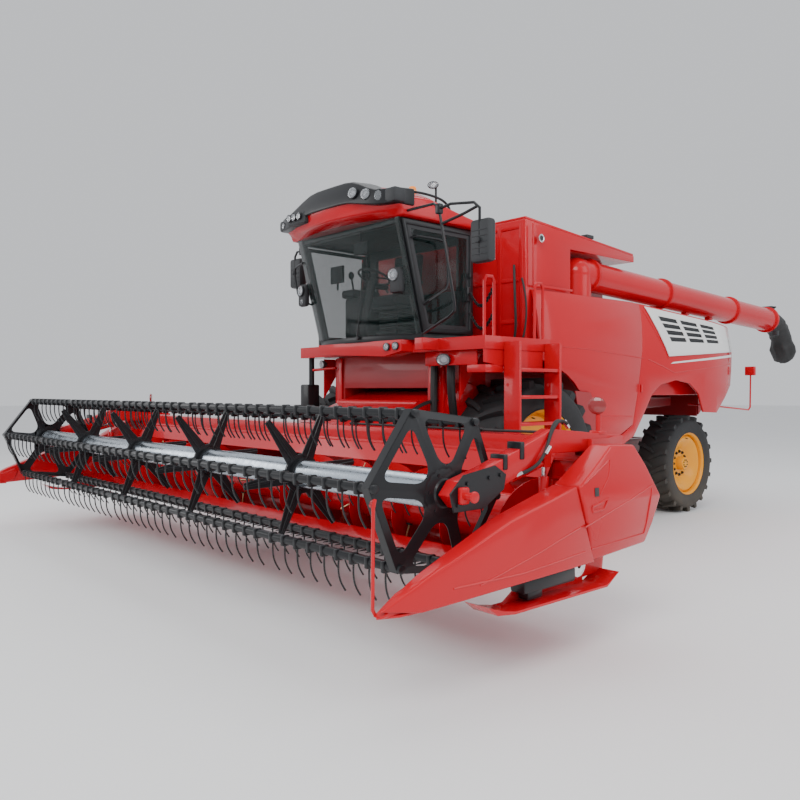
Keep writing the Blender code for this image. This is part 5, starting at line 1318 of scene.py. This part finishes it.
def ladder():
    low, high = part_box("ladder")
    look = {"rail": 0.035, "treads": 6, "rise": 0.27, "first": 0.56}
    rails = []
    for y in (low.y, high.y - look["rail"]):
        rails.append(block((low.x, y, low.z), (high.x, y + look["rail"], high.z), 0.008))
        for z in [0.70 + look["rise"] * k for k in range(5)]:
            rails.append(rod((low.x + 0.05, y - 0.001, z), (low.x + 0.05, y + look["rail"] + 0.001, z),
                             0.018, 12))
    treads = []
    for number in range(look["treads"]):
        z = look["first"] + number * look["rise"]
        treads.append(block((low.x + 0.01, low.y + 0.02, z), (low.x + 0.03, high.y - 0.02, z + 0.034),
                            0.004))
        treads.append(block((high.x - 0.03, low.y + 0.02, z), (high.x - 0.01, high.y - 0.02, z + 0.034),
                            0.004))
        for bar in range(9):
            y = low.y + 0.055 + bar * (high.y - low.y - 0.11) / 8
            treads.append(block((low.x + 0.02, y - 0.007, z + 0.006), (high.x - 0.02, y + 0.007, z + 0.032),
                                0.002))
    piece("ladder_welded", rails + treads, redPaint, "ladder", ["ladder"])


platform()
ladder()
print("platform made")


cabLook = {"base": -2.64, "eave": 3.50, "floor": 2.3203, "rear": -1.88, "lean": -0.2661}


def pillarY(z):
    return cabLook["base"] + cabLook["lean"] * (z - 2.26)


def pane(outline, x, thick, name, body):
    # a flat side window with a black border printed round it
    glass = plate(outline, "X", x, x + thick)
    piece(name, [glass], cabGlass, body)
    low, high = (x + thick + 0.0004, x + thick + 0.0014) if x > 0 else (x - 0.0016, x - 0.0004)
    border = plate(outline, "X", low, high, window=0.045)
    piece(name + "_border", [border], blackPlastic, body)


def cabShell():
    softened("cab_shell", blackPaint, 0.008)
    softened("cab_door", blackPaint, 0.008, 3)
    softened("windscreen", cabGlass, 0.0015, 1)
    low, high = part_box("cab_door")
    inset = 0.050
    bottom, top = low.z + inset, high.z - inset
    pane([(high.y - inset, bottom), (high.y - inset, top), (pillarY(top) + 0.075, top),
          (pillarY(bottom) + 0.075, bottom)], low.x + 0.012, 0.006, "door_glass", "cab_door")
    bottom, top = cabLook["floor"] + 0.01, cabLook["eave"] - 0.07
    pane([(cabLook["rear"] - 0.075, bottom), (cabLook["rear"] - 0.075, top), (pillarY(top) + 0.085, top),
          (pillarY(bottom) + 0.085, bottom)], -0.868, 0.006, "right_glass", "root")
    rearPane = plate([(-0.70, 2.85), (0.70, 2.85), (0.70, 3.36), (-0.70, 3.36)], "Y",
                     cabLook["rear"] - 0.030, cabLook["rear"] - 0.024)
    piece("rear_glass", [rearPane], cabGlass, "root")
    # grab frames that stand off the pillars and the door
    handle = hose([(0.925, pillarY(3.30) + 0.10, 3.30), (0.985, -2.80, 3.31), (1.0, -2.50, 3.31),
                   (1.0, -2.40, 3.29), (1.0, -2.36, 3.20), (1.0, -2.36, 2.86), (0.99, -2.38, 2.80),
                   (0.98, -2.62, 2.66), (0.925, pillarY(2.6) + 0.09, 2.62)], 0.013, 10, False)
    lock = [block((0.935, -2.02, 2.70), (0.965, -1.96, 2.86), 0.008),
            block((0.935, -1.975, 2.96), (0.960, -1.935, 3.02), 0.006)]
    piece("door_grab_frame", [handle] + lock, blackPaint, "cab_door")
    frameRight = hose([(-0.905, pillarY(3.25), 3.25), (-1.12, -2.86, 3.22), (-1.16, -2.84, 3.14),
                       (-1.16, -2.80, 2.92), (-1.10, -2.78, 2.82), (-0.905, pillarY(2.75), 2.76)], 0.012,
                      10, False)
    piece("right_grab_frame", [frameRight], blackPaint, "root")


def cabVisor():
    # the black visor over the windscreen, swept up in the middle
    look = {"wide": 2.04, "low": 3.60, "high": 3.755, "sweep": 0.178, "front": -3.072, "bow": 0.180,
            "deep": 0.27}
    visor = bmesh.new()
    bmesh.ops.create_cube(visor, size=1.0)
    longEdges = [e for e in visor.edges if abs(e.verts[0].co.x - e.verts[1].co.x) > 0.5]
    bmesh.ops.subdivide_edges(visor, edges=longEdges, cuts=15)
    for vert in visor.verts:
        x = vert.co.x * look["wide"]
        share = min(1.0, max(0.0, (0.86 - abs(x)) / 0.58))
        peak = share * share * (3 - 2 * share)
        upper, front = vert.co.z > 0, vert.co.y < 0
        y = look["front"] - look["bow"] * math.sqrt(max(0.0, 1.0 - (x / 1.06) ** 2))
        z = (look["high"] + look["sweep"] * peak) if upper else (look["low"] + 0.085 * peak)
        if upper and front:
            y += 0.012 + 0.07 * peak
        vert.co = (x, y + (0.0 if front else look["deep"] + 0.08 * peak),
                   z + (0.0 if front or not upper else 0.025))
    eased(visor, 0.020, 3, 35.0)
    piece("cab_visor", [visor], blackPaint, "root")


def cabRoof():
    softened("cab_roof", redPaint, 0.022, 3, 30.0)
    cabVisor()
    pods = [block((0.88, -3.16, 3.605), (1.05, -3.00, 3.755), 0.03),
            block((-0.74, -3.235, 3.610), (-0.38, -3.10, 3.745), 0.03),
            block((-1.05, -3.14, 3.605), (-0.80, -3.00, 3.735), 0.03)]
    piece("visor_pods", pods, blackPlastic, "root")
    rows = []
    for number, x in enumerate((0.46, 0.64, 0.82)):
        spot = (x, -3.246 + 0.13 * x * x, 3.775 - 0.22 * (x - 0.46))
        rows.append((f"visor_lamp_left_{number}", spot, (0.10 + 0.3 * x, -1, 0.12), 0.056, 1.0))
    for number, x in enumerate((-0.48, -0.575, -0.67)):
        rows.append((f"visor_lamp_right_{number}", (x, -3.245, 3.69), (-0.02, -1, 0.0), 0.040, 1.0))
    rows.append(("visor_lamp_right_low", (-0.93, -3.145, 3.66), (-0.2, -1, 0.0), 0.038, 1.0))
    rows.append(("pillar_lamp_left_upper", (0.74, -2.90, 2.93), (0.25, -1, 0.02), 0.062, 1.0))
    rows.append(("pillar_lamp_left_lower", (0.74, -2.87, 2.80), (0.25, -1, 0.02), 0.040, 1.0))
    rows.append(("pillar_lamp_right_upper", (-1.00, -2.86, 2.93), (-0.1, -1, 0.02), 0.062, 1.0))
    rows.append(("pillar_lamp_right_lower", (-1.00, -2.84, 2.80), (-0.1, -1, 0.02), 0.040, 1.0))
    rows.append(("stalk_lamp", (0.86, -2.44, 3.915), (0.55, -0.83, 0.0), 0.036, 1.5))
    lamp(rows, "root")
    pods = [block((0.66, -2.90, 2.74), (0.83, -2.80, 3.01), 0.035),
            block((-1.08, -2.86, 2.74), (-0.92, -2.78, 3.01), 0.035)]
    piece("pillar_lamp_pods", pods, blackPlastic, "root")
    stalk = [rod((0.86, -2.40, 3.60), (0.86, -2.40, 3.90), 0.012, 12),
             block((0.83, -2.43, 3.66), (0.89, -2.37, 3.70), 0.004)]
    rail = hose([(0.70, -2.98, 3.79), (0.86, -2.80, 3.80), (0.93, -2.55, 3.79), (0.96, -2.30, 3.74),
                 (0.96, -2.28, 3.62)], 0.014, 10)
    piece("roof_rail", stalk + [rail], blackPaint, "root")
    base = turned([(0.001, 0.0), (0.070, 0.0), (0.070, 0.018), (0.050, 0.030), (0.001, 0.030)],
                  (0.62, -2.52, 3.80), (0, 0, 1), 32)
    piece("beacon_base", [base], blackPlastic, "root")
    dome = turned([(0.001, 0.030), (0.046, 0.030), (0.048, 0.050), (0.044, 0.110), (0.034, 0.130),
                   (0.001, 0.136)], (0.62, -2.52, 3.80), (0, 0, 1), 32)
    piece("beacon", [dome], lensAmber, "root")
    hatch = block((-0.35, -2.50, 3.845), (0.35, -2.05, 3.862), 0.008)
    vents = [block((-0.75, -2.30 + 0.05 * k, 3.735), (-0.45, -2.275 + 0.05 * k, 3.775), 0.004)
             for k in range(6)]
    piece("roof_hatch", [hatch] + vents, redPaint, "root")


def mirrorHead(low, high):
    # a ribbed oblong shell and its swivel
    shell = block(low, high, 0.035)
    ribs = [block((low[0] + 0.03, low[1] - 0.004, z), (high[0] - 0.03, low[1] + 0.01, z + 0.010), 0.003)
            for z in [low[2] + 0.07 + 0.055 * k for k in range(int((high[2] - low[2] - 0.12) / 0.055))]]
    x, z = (low[0] + high[0]) / 2, (low[2] + high[2]) / 2
    knuckle = rod((x, low[1] - 0.030, z), (x, low[1] + 0.01, z), 0.026, 18, soft=0.005)
    return [shell, knuckle] + ribs


def mirrors():
    guardLeft = [(1.0003, -2.94, 3.545), (1.38, -2.94, 3.545), (1.46, -2.95, 3.49), (1.55, -2.95, 3.10),
                 (1.67, -2.95, 2.56), (1.66, -2.94, 2.48), (1.56, -2.92, 2.43), (1.14, -2.83, 2.31),
                 (1.06, -2.79, 2.30), (1.06, -2.78, 2.262)]
    armLeft = [(1.465, -2.952, 3.478), (1.62, -2.95, 3.50), (1.92, -2.95, 3.46), (1.99, -2.95, 3.40),
               (1.99, -2.95, 2.96)]
    braceLeft = [(1.50, -2.95, 3.33), (1.80, -2.95, 3.38), (1.97, -2.95, 3.42)]
    guardRight = [(-1.0003, -2.55, 3.57), (-1.38, -2.55, 3.57), (-1.47, -2.53, 3.53), (-1.36, -2.52, 3.10),
                  (-1.13, -2.52, 2.56), (-1.09, -2.52, 2.46), (-1.06, -2.54, 2.262)]
    armRight = [(-1.458, -2.532, 3.512), (-1.58, -2.52, 3.52), (-1.63, -2.52, 3.46), (-1.63, -2.52, 3.10)]
    heads = (("left", (guardLeft, armLeft, braceLeft), (1.87, -2.96, 2.90), (2.11, -2.85, 3.30)),
             ("right", (guardRight, armRight), (-1.75, -2.53, 3.06), (-1.51, -2.42, 3.44)))
    for word, routes, low, high in heads:
        tubes = [hose(route, 0.014, 12, False) for route in routes]
        clamp = [block(Vector(routes[1][0]) - Vector((0.03, 0.03, 0.05)),
                       Vector(routes[1][0]) + Vector((0.03, 0.03, 0.05)), 0.01)]
        piece(f"mirror_guard_{word}", tubes + clamp, blackPaint, "root", [f"mirror_{word}"])
        piece(f"mirror_shell_{word}", mirrorHead(low, high), blackPlastic, "root")
        face = block((low[0] + 0.02, high[1] - 0.001, low[2] + 0.02),
                     (high[0] - 0.02, high[1] + 0.003, high[2] - 0.02), 0.002)
        piece(f"mirror_face_{word}", [face], mirrorGlass, "root")


def wiper():
    arm = hose([(0.05, -2.832, 2.31), (0.10, -2.866, 2.42), (0.22, -2.905, 2.70), (0.26, -2.93, 2.86)],
               0.007, 8)
    blade = hose([(0.18, -2.895, 2.60), (0.25, -2.93, 2.84), (0.31, -2.965, 3.10)], 0.009, 8)
    pivot = rod((0.05, -2.80, 2.31), (0.05, -2.84, 2.31), 0.022, 16, soft=0.004)
    piece("wiper", [arm, blade, pivot], blackPlastic, "root")


def cabInside():
    look = {"wheel": 0.185, "grip": 0.013, "spoke": 0.18}
    floor = cabLook["floor"]
    mat = block((-0.80, -2.70, floor), (0.80, -1.93, floor + 0.006), 0.002)
    piece("cab_mat", [mat], blackPlastic, "root")
    column = [hose([(0.0, -2.70, floor), (0.0, -2.66, floor + 0.30), (0.0, -2.60, floor + 0.56),
                    (0.0, -2.555, floor + 0.68)], 0.045, 16),
              block((-0.10, -2.74, floor), (0.10, -2.62, floor + 0.16), 0.03)]
    piece("steering_column", column, blackPlastic, "root")
    way = Vector((0, 0.38, 0.92)).normalized()
    hub = Vector((0.0, -2.545, floor + 0.70))
    profile = []
    for step in range(10):
        angle = 2 * math.pi * step / 10
        profile.append((look["wheel"] + look["grip"] * math.cos(angle), look["grip"] * math.sin(angle)))
    grip = turned(profile, hub, way, 48)
    side = Vector((1, 0, 0))
    forth = way.cross(side)
    spokes = [rod(hub, hub + (side * math.cos(a) + forth * math.sin(a)) * look["spoke"], 0.010, 10)
              for a in (0.5, 2.64, 4.71)]
    centre = rod(hub - way * 0.02, hub + way * 0.02, 0.045, 24, soft=0.008)
    piece("steering_wheel", [grip, centre] + spokes, blackPlastic, "root")
    console = [block((-0.62, -2.50, floor), (-0.34, -2.00, floor + 0.52), 0.05),
               block((-0.60, -2.56, floor + 0.50), (-0.36, -2.14, floor + 0.60), 0.03)]
    lever = [rod((-0.48, -2.46, floor + 0.58), (-0.47, -2.50, floor + 0.74), 0.011, 12),
             ball((-0.47, -2.505, floor + 0.77), 0.034, (1, 1, 1.4)),
             rod((-0.42, -2.30, floor + 0.58), (-0.42, -2.32, floor + 0.68), 0.008, 10),
             ball((-0.42, -2.322, floor + 0.69), 0.018)]
    screen = [block((-0.60, -2.72, floor + 0.66), (-0.36, -2.69, floor + 0.86), 0.01),
              rod((-0.48, -2.70, floor + 0.58), (-0.48, -2.70, floor + 0.70), 0.012, 12)]
    piece("cab_console", console + lever + screen, blackPlastic, "root")
    rearView = [block((0.10, -2.93, 3.20), (0.34, -2.90, 3.34), 0.02),
                rod((0.22, -2.91, 3.30), (0.22, -2.93, 3.47), 0.008, 10)]
    piece("inside_mirror", rearView, blackPlastic, "root")
    lining = block((-0.86, -2.90, 3.46), (0.86, -1.94, 3.495), 0.01)
    piece("cab_lining", [lining], blackPlastic, "root")
    backboard = block((-0.82, -1.935, floor), (0.82, -1.925, 2.84), 0.003)
    piece("cab_backboard", [backboard], blackPlastic, "root")


def cushion(name, low, high, look):
    # a slightly smaller box, puffed with cloth pressure and rounded once
    shape = block(Vector(low) + Vector((0.008,) * 3), Vector(high) - Vector((0.008,) * 3), look["corner"])
    pad = piece(name, [shape], clothGrey, "root", (), 60.0)
    remesh = pad.modifiers.new("even", "REMESH")
    remesh.mode = "VOXEL"
    remesh.voxel_size = look["voxel"]
    bakeIn(pad)
    before = [v.co.copy() for v in pad.data.vertices]
    cloth = pad.modifiers.new("puff", "CLOTH")
    cloth.settings.use_pressure = True
    cloth.settings.uniform_pressure_force = look["pressure"]
    cloth.settings.effector_weights.gravity = 0.0
    cloth.settings.quality = 4
    for number in range(1, look["frames"] + 1):
        bpy.context.scene.frame_set(number)
    bakeIn(pad)
    bpy.context.scene.frame_set(1)
    for vert, old in zip(pad.data.vertices, before):
        step = vert.co - old
        if step.length > look["cap"]:
            vert.co = old + step * (look["cap"] / step.length)
    smooth = pad.modifiers.new("round", "SUBSURF")
    smooth.levels = 1
    smooth.render_levels = 1
    bakeIn(pad)
    pad.data.shade_smooth()
    return pad


def bakeIn(made):
    # applies what the modifiers make of a piece
    view = bpy.context.evaluated_depsgraph_get()
    mesh = bpy.data.meshes.new_from_object(made.evaluated_get(view))
    old = made.data
    made.modifiers.clear()
    made.data = mesh
    bpy.data.meshes.remove(old)


def seat():
    look = {"voxel": 0.006, "pressure": 4.0, "frames": 20, "cap": 0.012, "corner": 0.03, "fill": 0.7}
    floor = cabLook["floor"]
    base = cushion("seat_cushion", (-0.255, -2.46, floor + 0.375), (0.255, -1.99, floor + 0.50), look)
    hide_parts("operator_seat")
    back = cushion("seat_back", (-0.235, -2.10, floor + 0.50), (0.235, -1.99, floor + 1.02), look)
    pivot = Matrix.Translation((0, -2.05, floor + 0.5))
    back.data.transform(pivot @ Matrix.Rotation(math.radians(-5), 4, "X") @ pivot.inverted())
    cushion("seat_headrest", (-0.13, -2.055, floor + 1.02), (0.13, -1.975, floor + 1.14), look)
    stand = [block((-0.20, -2.36, floor), (0.20, -2.02, floor + 0.10), 0.02),
             block((-0.22, -2.40, floor + 0.335), (0.22, -1.99, floor + 0.385), 0.012)]
    for level in range(5):
        stand.append(block((-0.165, -2.33, floor + 0.10 + 0.047 * level),
                           (0.165, -2.05, floor + 0.14 + 0.047 * level), 0.012))
    rests = [block((side * 0.30 - 0.035, -2.40, floor + 0.62), (side * 0.30 + 0.035, -2.08, floor + 0.675),
                   0.018) for side in (1, -1)]
    rests += [rod((side * 0.265, -2.10, floor + 0.58), (side * 0.30, -2.12, floor + 0.63), 0.014, 12)
              for side in (1, -1)]
    piece("seat_base", stand + rests, blackPlastic, "root")


cabShell()
cabRoof()
mirrors()
wiper()
cabInside()
seat()
print("cab made")


def looseLines():
    # guard chains that sag across the platform, and hoses beside the tank
    look = {"links": 26, "sag": 0.17, "link": 0.015, "wire": 0.0065}
    links, count = [], look["links"]
    for start, end in (((0.96, -1.97, 2.80), (1.70, -2.42, 2.76)),
                       ((0.96, -1.97, 2.58), (1.70, -2.42, 2.50))):
        start, end = Vector(start), Vector(end)
        path = [start.lerp(end, k / count) - Vector((0, 0, look["sag"] * math.sin(math.pi * k / count)))
                for k in range(count + 1)]
        for number, (first, second) in enumerate(zip(path, path[1:])):
            middle, way = (first + second) / 2, (second - first)
            ring = [(look["link"] + look["wire"] * math.cos(a), look["wire"] * math.sin(a))
                    for a in [math.pi * k / 3 for k in range(6)]]
            link = turned(ring, (0, 0, 0), (0, 0, 1), 12)
            bmesh.ops.scale(link, vec=(1.5, 1, 1), verts=link.verts)
            turn = way.to_track_quat("X", "Z").to_matrix().to_4x4()
            roll = Matrix.Rotation(math.pi / 2 * (number % 2), 4, "X")
            link.transform(Matrix.Translation(middle) @ turn @ roll)
            links.append(link)
    piece("platform_chains", links, blackPaint, "root", smooth=60.0)
    lines = [hose([(1.30, -1.63, 3.10), (1.33, -1.66, 2.90), (1.36, -1.68, 2.60), (1.34, -1.64, 2.40),
                   (1.30, -1.63, 2.26)], 0.014, 8), hose([(1.40, -1.62, 2.95), (1.46, -1.60, 2.75),
            (1.47, -1.60, 2.50), (1.42, -1.62, 2.30)], 0.011, 8)]
    piece("tank_hoses", lines, hoseRubber, "root")


looseLines()
print("lines made")


def stage():
    backdrop = bmesh.new()
    bmesh.ops.create_circle(backdrop, cap_ends=True, radius=90.0, segments=64)
    mesh = bpy.data.meshes.new("floor")
    backdrop.to_mesh(mesh)
    backdrop.free()
    floor = bpy.data.objects.new("floor", mesh)
    bpy.context.scene.collection.objects.link(floor)
    graph = Graph("paleFloor")
    cloud = graph.noise(graph.place(), 0.35, 3.0)
    graph.put(Base_Color=graph.blend(cloud, shade(0.86, 0.86, 0.86), shade(0.82, 0.82, 0.825)),
              Roughness=cloud * 0.1 + 0.75)
    mesh.materials.append(graph.material)


def sky():
    world = bpy.data.worlds.new("studio")
    world.use_nodes = True
    shader = world.node_tree.nodes["Background"]
    shader.inputs["Color"].default_value = (0.94, 0.96, 1.0, 1.0)
    shader.inputs["Strength"].default_value = 0.80
    bpy.context.scene.world = world


def softLight(name, place, target, size, power, colour=(1, 1, 1)):
    data = bpy.data.lights.new(name, "AREA")
    data.shape = "RECTANGLE"
    data.size, data.size_y = size
    data.energy = power
    data.color = colour
    made = bpy.data.objects.new(name, data)
    made.location = place
    made.rotation_euler = (Vector(target) - Vector(place)).to_track_quat("-Z", "Y").to_euler()
    bpy.context.scene.collection.objects.link(made)


def camera():
    look = {"place": (6.785, -8.23, 1.72), "pitch": 89.31, "turn": 48.118, "lens": 34.74}
    data = bpy.data.cameras.new("camera")
    data.lens = look["lens"]
    data.sensor_width = 36.0
    data.clip_end = 300.0
    made = bpy.data.objects.new("camera", data)
    made.location = look["place"]
    made.rotation_euler = Euler((math.radians(look["pitch"]), 0, math.radians(look["turn"])))
    bpy.context.scene.collection.objects.link(made)
    bpy.context.scene.camera = made


stage()
sky()
softLight("key", (9.0, -13.0, 11.0), (0.5, -1.5, 1.5), (9.0, 7.0), 1400.0, (1.0, 0.985, 0.96))
softLight("fill", (12.0, 3.0, 7.0), (0.5, 0.5, 1.8), (8.0, 8.0), 420.0, (0.95, 0.975, 1.0))
softLight("top", (-1.0, 0.5, 13.0), (0.0, 0.0, 1.0), (12.0, 12.0), 620.0)
softLight("left_front", (-9.0, -11.0, 6.0), (0.0, -3.0, 1.0), (7.0, 6.0), 320.0)
camera()
print("stage set")

for node, shown in nodes.items():
    if not shown.hide_render:
        print("CAD node still shown:", node)

bpy.context.view_layer.update()
